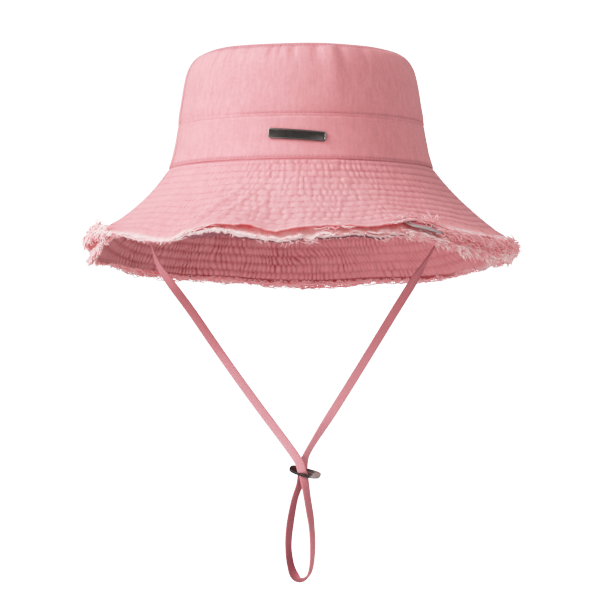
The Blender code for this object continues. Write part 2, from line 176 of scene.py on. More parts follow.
def spunCotton(name, finish):
    # loose cotton yarn: matt, soft sheen, paler in random patches where it is bleached; painted shade keeps it less
    # pale at the back, painted light changes its paleness from left to right
    made, tree, shader = newMaterial(name, {
        "Roughness": 0.95, "Sheen Weight": 0.4, "Sheen Roughness": 0.6,
        "Sheen Tint": linear(finish["pale"]), "Specular IOR Level": 0.1,
        "Subsurface Weight": 0.5, "Subsurface Radius": (1, 0.6, 0.6), "Subsurface Scale": 0.8 * mm,
    })
    place = addNode(tree, "TexCoord", "Object")
    right, back = [addNode(tree, "SeparateXYZ", axis, {"Vector": place}) for axis in ("X", "Y")]
    paintedBackShade = addRange(tree, back, 0.09, 0.03, finish["back"], 1)
    paintedLeftLight = addRange(tree, right, -0.03, 0.06, 1, finish["right"])
    share = addRange(tree, addNoise(tree, place, finish["patch"], 2), 0.35, 0.65, 0, 1)
    # bleached: random bleach patches times painted shade at the back and painted light from the left
    bleached = addMath(tree, "MULTIPLY", share, addMath(tree, "MULTIPLY", paintedBackShade, paintedLeftLight))
    feed(tree, shader, {"Base Color": addMix(tree, finish["deep"], finish["pale"], bleached)})
    if "glow" in finish:  # painted glow, standing in for light passed on from fibre to fibre
        feed(tree, shader, {"Emission Color": linear(finish["glow"]), "Emission Strength": finish["glowing"]})
    return made


# back and right are painted shade and painted light in the yarn's paleness; glow is a painted glow
frayFinish = {"deep": "#EAA0A6", "pale": "#FAE0DD", "patch": 5 * mm, "back": 0.3, "glow": "#F09CA1", "glowing": 0.12}
fringeYarn = spunCotton("frayed cotton yarn", dict(frayFinish, right=0.45))
rimYarn = spunCotton("bleached cotton yarn", dict(frayFinish, right=1.1))
evenFinish = {"back": 1, "right": 1}
liningYarn = spunCotton("grey lining yarn", dict(evenFinish, deep="#C2B8B8", pale="#DDD6D5", patch=3 * mm))
sewingYarn = spunCotton("pink sewing thread", dict(evenFinish, deep="#CE7782", pale="#DF98A0", patch=9 * mm))


def platedMetal(name, finish):
    # gunmetal plating over a die casting: dark mirror, slightly uneven, painted paler and rougher where a highlight
    # is painted
    made, tree, shader = newMaterial(name, {"Metallic": 1, "Specular IOR Level": 0.5})
    place = addNode(tree, "TexCoord", "Object")
    # bare is the paintedHighlight mark: paler colour and more roughness painted as a highlight
    bare = addNode(tree, "Attribute", "Fac", {"attribute_name": "paintedHighlight"})
    rub = addNoise(tree, place, 3 * mm, 5, 0.65)
    dull = addRange(tree, rub, 0, 1, finish["gloss"], finish["gloss"] + 0.15)
    feed(tree, shader, {
        "Base Color": addMix(tree, addMix(tree, finish["deep"], finish["pale"], rub), finish["paintedHighlight"], bare),
        "Roughness": addMath(tree, "MULTIPLY_ADD", bare, finish["matt"], dull),
        "Normal": addBump(tree, addNoise(tree, place, 0.8 * mm, 2), 0.12, 0.1 * mm),
    })
    return made


metalFinish = {"deep": "#3E3937", "pale": "#5E5855", "gloss": 0.22}
gunmetal = platedMetal("gunmetal plated zinc", dict(metalFinish, paintedHighlight="#DDD8D5", matt=0))
dullHighlightMetal = platedMetal("gunmetal plated zinc with a painted matt highlight", dict(metalFinish, paintedHighlight="#BDB5B1", matt=0.5))
print("materials made")

# the hat's cut, with the same sizes as the solids; tables are keyed by direction in degrees, 270 is the front
hatCut = {
    "halfWidth": 0.089, "halfDepth": 0.102, "backDip": 0.004,
    "profile": [
        (0, 0), (0.0034, 0.012), (0.006, 0.0285), (0.0082, 0.043), (0.0108, 0.058), (0.0137, 0.0673),
        (0.0184, 0.0738), (0.0246, 0.0774),
    ],
    "bandHeight": 0.0285, "tipRise": 0.0022, "tipFlat": 0.45, "tipTuck": 0.0026, "slant": 0.0735, "margin": 0.0145,
    "slopeAtSeam": (56, -1.5, 3.5, -0.5), "slopeAtEdge": (38, 3.5, 18.5, -9.5),
    "waves": [  # direction, half width in degrees, height
        (234, 15, -0.005), (250, 12, 0.003), (264, 9, -0.0025), (296, 14, 0.0045), (328, 24, -0.005),
        (38, 34, -0.0065), (90, 62, -0.0045), (146, 36, -0.007),
    ],
    "edgeShift": {  # mm that the raw edges stand above or below the solids'
        194: -1, 204: -1.4, 211: -2.4, 218: -3.4, 229: -3.2, 236: -2.8, 238.5: -1.4, 241: -0.2, 245: 0, 338: 0,
        350: -1.4, 360: -2.2, 370: -1.2, 380: 0, 500: 0, 516: -2.5, 530: -4, 542: -3, 554: -1,
    },
    "topLifts": {  # mm that the upper cloth's raw edge stands above the brim
        194: 3.2, 202: 2.8, 212: 1.2, 222: 0, 253: 0, 255.5: 1, 258: 2, 262: 1.4, 265: 1.6, 269: 2.3, 272.5: 2.5,
        276: 3, 280: 2.8, 283: 2.1, 286: 0.9, 289.5: 0.3, 292.5: 0.8, 297: 2.4, 302: 2.2, 308: 0.8, 318: 1.2,
        330: 1.4, 342: 0.2, 350: -1.2, 358: -1, 368: 0, 530: 0, 544: 2.4, 554: 3.2,
    },
    "underDrops": {  # mm that the facing's raw edge hangs below it
        194: 9.5, 200: 8.5, 205: 5, 212: 1.6, 220: 0, 241: 0, 245: 1, 250: 1.6, 252.5: 2.2, 255.5: 3.4, 258: 2.6,
        262: 1.8, 265.5: 3.2, 268.8: 2.3, 270.3: 2.4, 271.2: 4.8, 272.6: 4.6, 273.6: 2.4, 275.7: 2.1, 280: 1.6,
        283: 0.4, 286: 1.9, 289.5: 4.8, 292.5: 4.9, 297: 6, 302: 6.4, 308: 6.6, 318: 5.6, 326: 6.8, 334: 7.6,
        346: 5.8, 354: 5.6, 366: 6.2, 376: 4.4, 386: 1.6, 394: 0, 502: 0, 518: 3.4, 534: 8, 546: 9.5, 554: 9.5,
    },
    "canvas": 0.0009, "brimCloth": 0.0008, "interlining": 0.0004, "gap": 0.0003, "front": (194.1, 385.9),
    "back": (386.1, 553.9), "round": (90, 450), "tipRim": 0.025,
}
slant, gap, bandHeight, top = hatCut["slant"], hatCut["gap"], hatCut["bandHeight"], hatCut["profile"][-1][1]
halves = {"Front": hatCut["front"], "Back": hatCut["back"]}
# mean radii that turn directions into lengths
tipRadius, wallRadius, bandRadius, brimRadius, edgeRadius = 0.078, 0.092, 0.096, 0.118, 0.14


def ease(share):
    share = np.clip(share, 0, 1)
    return share * share * (3 - 2 * share)


def fade(share):
    return 1 - ease(share)


def ridge(off, half):
    return np.exp(-(off / half) ** 2)


def away(theta, centre):
    return (np.degrees(theta) - centre + 180) % 360 - 180


def hump(theta, centre, half, height):  # rounded hump at its own direction round the hat
    off = np.clip(np.abs(away(theta, centre)) / half, 0, 1)
    return height * 0.5 * (1 + np.cos(np.pi * off))


def crumple(x, y, seed):  # soft random swelling, about -1 to 1, one lump in each unit square
    xCell, yCell = np.floor(x).astype(np.int64), np.floor(y).astype(np.int64)
    xPart, yPart = x - xCell, y - yCell

    def corner(dx, dy):
        mixed = ((xCell + dx) * 73856093) ^ ((yCell + dy) * 19349663) ^ (seed * 83492791)
        mixed = (mixed ^ (mixed >> 13)) & 0x7FFFFFFF
        mixed = (mixed * 1103515245 + 12345) & 0x7FFFFFFF
        turn = (mixed >> 8) % 4096 * (2 * math.pi / 4096)
        return np.cos(turn) * (xPart - dx) + np.sin(turn) * (yPart - dy)

    xMix, yMix = [part ** 3 * (part * (part * 6 - 15) + 10) for part in (xPart, yPart)]
    low, high = [corner(0, dy) * (1 - xMix) + corner(1, dy) * xMix for dy in (0, 1)]
    return 1.5 * (low * (1 - yMix) + high * yMix)


def throughPoints(table, place):  # smooth curve through the rows of a table, place counts rows
    table = np.array(table, float)
    last = len(table) - 1
    index = np.clip(np.floor(place).astype(int), 0, last - 1)
    t = (place - index)[:, None]
    before, start = table[np.maximum(index - 1, 0)], table[index]
    end, after = table[index + 1], table[np.minimum(index + 2, last)]
    return 0.5 * (
        2 * start + (end - before) * t + (2 * before - 5 * start + 4 * end - after) * t ** 2
        + (3 * start - before - 3 * end + after) * t ** 3
    )


def readOff(table, place):
    return np.interp(place, list(table), list(table.values()))


def turned(theta):  # degrees from 194 to 554
    return 194 + (np.degrees(theta) - 194) % 360


def lookUp(theta, table):
    return readOff(table, turned(theta))


def lookMm(theta, table):
    return lookUp(theta, table) * mm


def smoothLook(theta, table):
    return throughPoints(list(table.items()), np.interp(turned(theta), list(table), np.arange(len(table))))[:, 1]


def seamDip(theta):
    return hatCut["backDip"] * ease(np.maximum(np.sin(theta), 0))


def ovalAt(theta, inset, share=1):
    sides = (hatCut["halfWidth"], np.cos(theta)), (hatCut["halfDepth"], np.sin(theta))
    return [share * (half - inset) * turn for half, turn in sides]


def crownAt(theta, height):
    heights = [row[1] for row in hatCut["profile"]]
    shape = throughPoints(hatCut["profile"], np.interp(height, heights, np.arange(len(heights))))
    return np.stack([*ovalAt(theta, shape[:, 0]), shape[:, 1] - seamDip(theta) * fade(height / top)], axis=1)


def tipAt(theta, inward):  # past its rim the tip is tucked under the wall
    rise = hatCut["tipRise"] * ease(inward / (1 - hatCut["tipFlat"]))
    tuck = hatCut["tipTuck"] * np.clip(-inward / hatCut["tipRim"], 0, 1)
    inset = hatCut["profile"][-1][0] + hatCut["canvas"]
    return np.stack([*ovalAt(theta, inset, 1 - inward), top + rise - tuck], axis=1)


def slopeAt(theta, terms):
    mean, side, end, oval = terms
    return np.radians(mean + side * np.cos(theta) + end * np.sin(theta) + oval * np.cos(2 * theta))


def brimAt(theta, run):  # run is the distance down the brim from its seam
    share = run / slant
    start = slopeAt(theta, hatCut["slopeAtSeam"])
    bend = slopeAt(theta, hatCut["slopeAtEdge"]) - start
    bend = np.where(np.abs(bend) < 1e-4, 1e-4, bend)
    here = start + bend * share
    out = slant * (np.sin(here) - np.sin(start)) / bend
    down = slant * (np.cos(start) - np.cos(here)) / bend
    wave = sum(hump(theta, *row) for row in hatCut["waves"]) + smoothLook(theta, hatCut["edgeShift"]) * mm
    xOut, yOut = np.cos(theta) / hatCut["halfWidth"], np.sin(theta) / hatCut["halfDepth"]
    size = np.hypot(xOut, yOut)
    x, y = ovalAt(theta, 0)
    z = wave * share * share - down - seamDip(theta)
    return np.stack([x + out * xOut / size, y + out * yOut / size, z], axis=1)


def partedAt(theta, run, lifts):
    placed = brimAt(theta, run)
    placed[:, 2] += lifts * mm * ease((run - slant + hatCut["margin"]) / hatCut["margin"])
    return placed


def brimTopAt(theta, run):
    return partedAt(theta, run, smoothLook(theta, hatCut["topLifts"]))


def brimUnderAt(theta, run):
    return partedAt(theta, run, -smoothLook(theta, hatCut["underDrops"]))


def outward(surface, u, v, step=0.0006):
    across = surface(u + step * 8, v) - surface(u - step * 8, v)
    along = surface(u, v + step) - surface(u, v - step)
    normal = np.cross(across, along)
    normal[np.linalg.norm(normal, axis=1) < 1e-15] = (0, 0, 1)  # middle of the tip
    normal /= np.linalg.norm(normal, axis=1)[:, None]
    here = surface(u, v)
    outside = normal[:, 0] * here[:, 0] + normal[:, 1] * here[:, 1] + normal[:, 2] * 0.06
    return normal * np.sign(outside)[:, None]


def offAt(surface, u, v, lift):  # lift is the distance from the surface along its normal
    return surface(u, v) + outward(surface, u, v) * lift[:, None]


def finishPiece(name, mesh, material, body):
    mesh.shade_smooth()
    mesh.materials.clear()
    mesh.materials.append(material)
    obj = show(bpy.data.objects.new(name, mesh))
    if body:
        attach(obj, body)
    return obj


def gridMesh(name, across, down):  # a flat grid, and where its points lie from 0 to 1 each way
    bm = bmesh.new()
    bmesh.ops.create_grid(bm, x_segments=across, y_segments=down, size=1)
    mesh = bpy.data.meshes.new(name)
    bm.to_mesh(mesh)
    bm.free()
    flat = np.empty(len(mesh.vertices) * 3)
    mesh.vertices.foreach_get("co", flat)
    return mesh, (flat[0::3] + 1) / 2, (flat[1::3] + 1) / 2


def dressMesh(mesh, placed, drawn, marks, closed=False):  # places, cloth coordinates and shading marks, then sewn up
    mesh.vertices.foreach_set("co", placed.ravel())
    corner = np.empty(len(mesh.loops), np.int32)
    mesh.loops.foreach_get("vertex_index", corner)
    mesh.uv_layers.new(name="cloth").data.foreach_set("uv", drawn[corner].ravel())
    for mark, values in marks.items():
        mesh.attributes.new(mark, "FLOAT", "POINT").data.foreach_set("value", values)
    bm = bmesh.new()
    bm.from_mesh(mesh)
    bmesh.ops.remove_doubles(bm, verts=bm.verts, dist=1e-6)
    if closed:
        bmesh.ops.holes_fill(bm, edges=[e for e in bm.edges if e.is_boundary], sides=0)
        bmesh.ops.recalc_face_normals(bm, faces=bm.faces)
    bm.to_mesh(mesh)
    bm.free()


def clothPiece(name, surface, swell, cut, material):
    # a grid laid on the surface, swollen along the normal; cut rows: u degrees, v metres, grid counts
    mesh, u, v = gridMesh(name, cut["across"], cut["down"])
    u = np.radians(cut["u"][0] + (cut["u"][1] - cut["u"][0]) * u)
    v = cut["v"][0] + (cut["v"][1] - cut["v"][0]) * v
    if "edge" in cut:
        v = cut["edge"](u, v)
    placed = offAt(surface, u, v, swell(u, v) - cut["depth"])
    drawn = np.stack([u * cut["radius"], v], axis=1) if cut["radius"] else placed[:, :2]
    marks = {mark: np.clip(cut[mark](u, v), 0, 1) for mark in ("frayed", "crease") if mark in cut}
    dressMesh(mesh, placed, drawn, marks)
    obj = finishPiece(name, mesh, material, "hat")
    shell = obj.modifiers.new("thickness", "SOLIDIFY")
    shell.thickness = cut["thick"]
    shell.offset = -1
    if "inside" in cut:
        mesh.materials.append(cut["inside"])
        shell.material_offset = shell.material_offset_rim = 1
    return obj


# crown: gathers under the tip seam, one long soft fold, and seams that sink a little
crownCut = {
    "dents": [  # direction, half width in degrees, depth, how far down it reaches
        (254.5, 3.4, -1.3 * mm, 15 * mm), (258.9, 2.8, -mm, 13 * mm), (265.8, 3.4, -1.2 * mm, 15 * mm),
        (277.4, 4, -1.2 * mm, 17 * mm), (289.8, 5, -1.3 * mm, 22 * mm), (241, 4, -0.9 * mm, 16 * mm),
        (304, 5, -0.8 * mm, 18 * mm), (232, 4, -0.8 * mm, 16 * mm), (222, 5, -0.9 * mm, 20 * mm),
    ],
    "fold": (286, 8, 1.7 * mm), "tipRow": 2.3 * mm, "bandRow": {194: 0, 236: 0.1, 252: 1}, "wallRow": 2.1 * mm,
    "brimRow": 2.6 * mm, "wallEnds": {232: 0, 242: 200},
}


def crownSwell(theta, height):
    below, above, arc = top - height, height - bandHeight, theta * wallRadius
    total = 0.8 * mm * ease((height - 0.0275) / 0.009)
    total += 0.5 * mm * crumple(arc / 0.055, height / 0.04, 3) * ease(above / 0.014)
    gather = 0.35 * mm * crumple(arc / 0.0105, height / 0.05, 4) * fade(below / 0.016)
    for centre, half, depth, reach in crownCut["dents"]:
        gather += hump(theta, centre, half, depth) * fade((below - 0.002) / reach)
    gather += hump(theta, *crownCut["fold"]) * fade((below - 0.012) / 0.034)
    total += gather * ease((below - 0.0008) / 0.0045)  # the tip seam keeps a clean line
    total -= 0.45 * mm * fade(below / 0.0018)  # sewn in at the tip
    total -= 0.3 * mm * ridge(below - crownCut["tipRow"], 0.0008)
    total -= 1.2 * mm * fade((above + 0.0011) / 0.0013)  # tucked behind the band
    return total - 0.12 * mm * ridge(above - crownCut["wallRow"], 0.0006)


def dots(theta, radius):  # painted shade between the stitches of a row
    return np.sin(theta * radius * math.pi / stitchCut["pitch"]) ** 2


def sideSeam(theta):
    return sum(0.5 * ridge(away(theta, edge), 0.5) for edge in hatCut["front"])


# painted shade: stitch rows, gathers and folds below the tip, darker along the side seams
def crownPaintedShade(theta, height):
    below, holes = top - height, dots(theta, tipRadius)
    tipRow = ridge(below - crownCut["tipRow"], 0.0009) * (0.35 + 0.65 * holes)
    wallRow = ridge(height - bandHeight - crownCut["wallRow"], 0.0008) * lookUp(theta, crownCut["bandRow"])
    folds = sum(
        hump(theta, centre, 0.7 * half, 0.2) * fade((below - 0.002) / reach)
        for centre, half, depth, reach in crownCut["dents"]
    )
    return tipRow + wallRow * (0.3 + 0.3 * holes) + sideSeam(theta) + folds * ease(below / 0.004)


def bandSwell(theta, height):
    arc, low = theta * bandRadius, fade((height - 0.014) / 0.014)
    total = 0.1 * mm + low * (0.4 * mm + 0.4 * mm * crumple(arc / 0.05, height / 0.03, 7))
    total += 0.1 * mm * crumple(arc / 0.012 + height / 0.02, height / 0.01, 8)
    total -= 0.25 * mm * fade((bandHeight - height) / 0.0008) * lookUp(theta, crownCut["bandRow"])
    total -= 0.25 * mm * ridge(height - crownCut["brimRow"], 0.0007)
    return total - mm * fade(height / 0.0018)  # turned edge on the brim seam


# painted shade: the stitch row and the groove at the brim seam, darker along the side seams
def bandPaintedShade(theta, height):
    sewn = ridge(height - crownCut["brimRow"], 0.0009) * (0.3 + 0.6 * dots(theta, bandRadius))
    return sewn + 0.9 * fade(height / 0.0012) + sideSeam(theta)


def tipSwell(theta, inward):
    near = 7 * (1 - inward)
    uneven = 0.25 * mm * crumple(near * np.cos(theta), near * np.sin(theta), 9) * fade(inward / 0.35)
    return mm * ease(inward / 0.3) + uneven + 0.4 * mm * ease(inward / 0.03) - 0.1 * mm


def noSwell(u, v):
    return 0 * u


def ribbed(u, v):
    return -0.1 * mm * np.abs(np.sin(u * 0.09 / 0.0011))


stitchCut = {"pitch": 3 * mm, "length": 2 * mm, "radius": 0.24 * mm, "sink": -0.20 * mm, "rise": 0.16 * mm}
for side, arc in halves.items():
    half = side.lower()
    cut = {
        "u": arc, "v": (bandHeight - 1.2 * mm, top), "across": 300, "down": 96, "depth": 0,
        "thick": hatCut["canvas"], "radius": wallRadius, "crease": crownPaintedShade,
    }
    wall = clothPiece(f"crownWall{side}", crownAt, crownSwell, cut, canvas)
    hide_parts(f"crown_{half}_panel")
    cut.update(v=(gap, bandHeight), down=30, radius=bandRadius, crease=bandPaintedShade)
    band = clothPiece(f"hatBand{side}", crownAt, bandSwell, cut, canvas)
    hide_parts(f"band_{half}")
cut = {
    "u": hatCut["round"], "v": (-hatCut["tipRim"], 1), "across": 360, "down": 82, "depth": 0,
    "thick": hatCut["canvas"], "radius": 0,
}
hatTip = clothPiece("hatTip", tipAt, tipSwell, cut, canvas)
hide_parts("crown_tip")
cut.update(v=(0.0300, gap), across=420, down=24, depth=0.0031, thick=0.0010, radius=0.09)
headTape = clothPiece("headTape", crownAt, ribbed, cut, tapeCloth)
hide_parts("sweatband")
print("crown made")

# brim: rows of quilting 6 mm apart, cloth puckered between them, free raw edges
brimCut = {
    "firstRow": 4 * mm, "rowPitch": 6 * mm, "rows": 12, "tuck": 1.6 * mm,
    "creases": [  # from direction and run, to direction and run, half width, height
        (241, 0.0606, 249.3, 0.0281, 2.4 * mm, 1.2 * mm), (246.2, 0.0713, 254.6, 0.0284, 2.2 * mm, mm),
        (250.9, 0.0735, 259.8, 0.038, 2 * mm, 0.7 * mm), (238.7, 0.073, 246, 0.04, 2.4 * mm, 0.8 * mm),
    ],
    "torn": {302: 1, 310: 3, 346: 3, 360: 1},
    "innerEdge": {  # mm down the brim where the interlining ends
        194: 60, 240: 56, 295: 56, 297: 74, 299: 76, 306: 76, 309: 70, 314: 66, 330: 62, 554: 60,
    },
    "innerLifts": {294: 0, 298: 0.9, 303: 0.9, 307: 0.4, 311: 0},
    "innerCurl": {295: 0, 298: 1.5, 306: 1.5, 310: 0}, "across": {"Front": 560, "Back": 500},
}
# quilting and raw edge of the upper cloth and of the facing; rows are sewn stitches, puffs lie between; rowShade,
# puffShade, spot and edgeDark set painted shade
upperCut = {
    "pucker": 5.8 * mm, "stagger": 0.5, "slant": 0, "row": 0.45 * mm, "puff": mm, "seed": 21, "rowShade": 0.85,
    "puffShade": 0.75, "drift": 0.9, "flow": 0, "spot": 0.75, "loose": 1, "patchy": 0.3,
    "lastRow": {194: 66, 245: 68, 291: 68, 300: 59, 350: 58, 386: 62, 450: 66},
    "rowStrength": {
        194: 0.14, 236: 0.2, 252: 0.45, 274: 0.55, 284: 0.9, 300: 1, 335: 0.9, 352: 0.6, 378: 0.6, 400: 0.8,
        450: 0.8, 554: 0.3,
    },
    "puffStrength": {
        194: 0.12, 232: 0.2, 246: 0.6, 256: 1, 285: 1, 300: 0.7, 330: 0.4, 350: 0.15, 380: 0.15, 410: 0.6, 450: 0.9,
        554: 0.3,
    },
    "edgeSeed": 61,
    "fluff": {  # share of bleach along the raw edge, and mm that it is wide and cut short
        238: 0.9, 247: 0.2, 290: 0.15, 297: 0.6, 309: 0.45, 316: 0.55, 350: 0.5, 366: 0.55, 386: 0.9,
    },
    "wide": {194: 12, 206: 10, 212: 6, 238: 6, 245: 4, 296: 4, 306: 9, 346: 9, 372: 4, 526: 4, 535: 14, 554: 12},
    "short": {295.5: 0, 299: 3.4, 305.5: 3.4, 309: 0}, "bleached": {238: 0, 256: 0.07, 288: 0.09, 303: 0},
    "edgeDark": {194: 0},
    "fringe": {  # mm that the yarns stick out
        194: 3.6, 206: 3.4, 211: 2.8, 217: 1.4, 232: 1.2, 243: 1.4, 247: 0, 290: 0, 295: 2.2, 304: 3, 311: 3.4,
        338: 3.4, 350: 3.8, 360: 5.4, 372: 3, 386: 1.8, 400: 1.2, 440: 1, 520: 1.2, 540: 2.4, 548: 3.2, 554: 3.6,
    },
}
facingCut = {
    "pucker": 3.3 * mm, "stagger": 0.25, "slant": 0.2, "row": 0.5 * mm, "puff": 0.9 * mm, "seed": 41,
    "rowShade": 0.65, "puffShade": 1.15, "drift": 1.6, "flow": 1, "spot": 0.15, "loose": 1.6, "patchy": 0.9,
    "lastRow": {194: 68, 290: 64, 300: 58, 350: 58, 386: 64, 410: 69, 530: 69, 554: 68},
    "rowStrength": {194: 0.7, 386: 0.4, 420: 0.4, 445: 0.6, 465: 0.95, 500: 1, 554: 0.8},
    "puffStrength": {300: 0.5, 386: 0.4, 420: 0.6, 440: 0.85, 455: 1, 470: 1.1, 510: 1.1, 530: 0.8, 554: 0.4},
    "edgeSeed": 71,
    "fluff": {  # share of bleach along the raw edge, and mm that it is wide and cut short
        194: 0.8, 240: 1, 386: 0.8, 398: 0.1, 540: 0.1, 554: 0.8,
    },
    "wide": {
        194: 14, 206: 9, 214: 4, 242: 7, 249: 11, 264: 12, 269: 15, 276: 15, 282: 11, 290: 10, 296: 10, 306: 12,
        318: 15, 366: 15, 380: 4, 535: 4, 548: 14,
    },
    "short": {
        194: 1.5, 206: 0.5, 212: 3, 236: 3, 242: 0, 386: 0, 404: 2, 450: 3, 490: 3, 506: 5.5, 520: 5.5, 534: 2.5,
        554: 1.5,
    },
    "bleached": {194: 0},
    "edgeDark": {194: 0.1, 204: 0, 386: 0, 400: 0.9, 488: 0.9, 506: 0.3, 554: 0.1},
    "fringe": {  # mm that the yarns stick out
        194: 2.6, 206: 2, 212: 0.5, 238: 0.5, 243: 1.4, 256: 1.9, 290: 1.9, 300: 2.6, 318: 2.4, 332: 1.6, 350: 2,
        362: 2.6, 372: 2, 386: 1.4, 400: 0.9, 520: 1, 554: 2.6,
    },
}


def creaseLines(theta, run, lines):
    total = np.zeros_like(theta)
    for fromTheta, fromRun, toTheta, toRun, width, height in lines:
        x, y = away(theta, fromTheta) * brimRadius * math.pi / 180, run - fromRun
        dx, dy = math.radians(toTheta - fromTheta) * brimRadius, toRun - fromRun
        size = math.hypot(dx, dy)
        along = (x * dx + y * dy) / size ** 2
        ends = ease((along + 0.15) / 0.3) * ease((1.15 - along) / 0.3)
        total += height * ends * ridge((x * dy - y * dx) / size, width)
    return total


def quiltPattern(theta, run, look):
    arc, seed = theta * brimRadius, look["seed"]
    rows = (run - brimCut["firstRow"]) / brimCut["rowPitch"]
    index = np.floor(rows)
    between = np.sin(np.pi * (rows - index)) ** 0.75
    sewn = ease((run + 0.0005) / 0.003) * fade((run - lookMm(theta, look["lastRow"])) / 0.004)
    level = index * 0.37 * (1 - look["flow"]) + run / 0.021 * look["flow"]
    wander = look["drift"] * crumple(arc / 0.026, level, seed)
    wander += 0.5 * crumple(arc / 0.009, index * 0.37, seed + 6)
    phase = (arc + look["slant"] * run) / look["pucker"] + look["stagger"] * index + wander
    uneven = 0.7 + 0.6 * crumple(np.floor(phase) * 0.73 + 0.37, index * 0.61 + 0.29, seed + 1)
    uneven *= np.clip(0.9 + look["patchy"] * crumple(arc / 0.017, run / 0.012, seed + 7), 0.15, 1.5)
    ripple = np.abs(np.sin(np.pi * phase)) ** 0.7
    return sewn, between, ripple, uneven


def quilting(theta, run, look):
    arc, seed = theta * brimRadius, look["seed"]
    sewn, between, ripple, uneven = quiltPattern(theta, run, look)
    strength = lookUp(theta, look["puffStrength"])
    puff = between ** 0.6 * strength * look["puff"] * (ripple * uneven - 0.35)
    total = sewn * (between * look["row"] * lookUp(theta, look["rowStrength"]) + puff)
    total += sewn * strength * 0.25 * mm * crumple(arc / 0.0032, run / 0.004, seed + 5)
    total += 0.7 * mm * crumple(arc / 0.045, run / 0.05, seed + 2) * ease(run / 0.02)
    loose = look["loose"] * ease((run - lookMm(theta, look["lastRow"])) / 0.008)
    total += loose * 1.1 * mm * crumple(arc / 0.014, run / 0.03, seed + 3)
    total += loose * 0.7 * mm * crumple(arc / 0.005, run / 0.012, seed + 4)
    return total - 0.1 * mm * fade(run / 0.0022)  # sinks into the seam under the band


def pastEdge(theta, run, look):  # distance beyond the cloth's raw edge
    return run - slant + lookMm(theta, look["short"])


def quiltPaintedShade(theta, run, look):  # painted shade: 1 where the cloth sinks to a stitch, a pucker or the seam under the band, and a painted shadow line near its raw edge
    sewn, between, ripple, uneven = quiltPattern(theta, run, look)
    strength, spot = lookUp(theta, look["puffStrength"]), look["spot"]
    rowDark = look["rowShade"] * lookUp(theta, look["rowStrength"]) * (1 - between) ** 1.3
    rowDark *= 1 - spot * 0.6 * ripple * np.minimum(strength, 1)
    puffDark = look["puffShade"] * strength * (1 - ripple) ** 1.4 * uneven
    puffDark *= (1 - spot) * between ** 0.4 + spot * 1.6 * (1 - between) ** 0.7
    dark = lookUp(theta, look["edgeDark"]) * ease((pastEdge(theta, run, look) + 0.0026) / 0.0012)
    return sewn * (rowDark + puffDark) + 0.9 * fade(run / 0.0014) + dark


def raggedEdge(theta, run, look):
    arc, seed = theta * edgeRadius, look["edgeSeed"]
    bite = 0.8 * mm * crumple(arc / 0.006, 0, seed) + 0.5 * mm * crumple(arc / 0.0021, 0, seed + 1)
    bite = bite * lookUp(theta, brimCut["torn"]) - lookMm(theta, look["short"])
    return run + bite * ease((run / slant - 0.8) / 0.2)


def fluffAt(theta, run, look):
    arc, wide = theta * edgeRadius, lookMm(theta, look["wide"])
    torn = 0.9 + 0.35 * crumple(arc / 0.005, run / 0.004, 81) + 0.45 * crumple(arc / 0.0022, run / 0.003, 82)
    near = ease((pastEdge(theta, run, look) + wide - 0.0005) / (0.35 * wide + 0.0026))
    bleach = lookUp(theta, look["bleached"]) * ease(run / 0.03)
    return bleach + 0.9 * torn * lookUp(theta, look["fluff"]) * near


def brimMarks(look):
    return {
        "edge": lambda u, v: raggedEdge(u, v, look), "frayed": lambda u, v: fluffAt(u, v, look),
        "crease": lambda u, v: quiltPaintedShade(u, v, look),
    }


def topSwell(theta, run):
    return quilting(theta, run, upperCut) + creaseLines(theta, run, brimCut["creases"])


def underSwell(theta, run):
    return -quilting(theta, run, facingCut)


def innerEdge(theta, run):
    return run / slant * lookMm(theta, brimCut["innerEdge"])


def innerGapShade(theta, run):  # painted shade: the interlining takes the gap's deep red, except along its edge
    return fade((run - lookMm(theta, brimCut["innerEdge"]) + 0.0030) / 0.001)


def brimInnerAt(theta, run):
    placed = partedAt(theta, run, lookUp(theta, brimCut["innerLifts"]))
    curled = ease((run - lookMm(theta, brimCut["innerEdge"]) + 0.004) / 0.004)
    placed[:, 2] -= lookMm(theta, brimCut["innerCurl"]) * curled
    return placed


brimPieces = {}
innerDepth = hatCut["brimCloth"] + gap
underDepth = innerDepth + hatCut["interlining"] + gap
facingDepth = underDepth + hatCut["brimCloth"]
for side, arc in halves.items():
    cut = {
        "u": arc, "v": (slant, -brimCut["tuck"]), "across": brimCut["across"][side], "down": 84, "depth": 0,
        "thick": hatCut["brimCloth"], "radius": brimRadius, "inside": gapShadeCanvas, **brimMarks(upperCut),
    }
    upper = clothPiece(f"brimCloth{side}", brimTopAt, topSwell, cut, canvas)
    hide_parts(f"brim_top_{side.lower()}")
    cut.update(v=(0, slant), depth=facingDepth, **brimMarks(facingCut))
    lower = clothPiece(f"brimFacing{side}", brimUnderAt, underSwell, cut, facingCanvas)
    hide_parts(f"brim_under_{side.lower()}")
    cut = {
        "u": arc, "v": (slant, 0), "across": 200, "down": 60, "depth": innerDepth,
        "thick": hatCut["interlining"], "radius": brimRadius, "edge": innerEdge, "crease": innerGapShade,
    }
    inner = clothPiece(f"brimStiffener{side}", brimInnerAt, noSwell, cut, stiffener)
    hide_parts(f"brim_interlining_{side.lower()}")
    brimPieces[side] = (upper, lower, inner)
print("brim made")


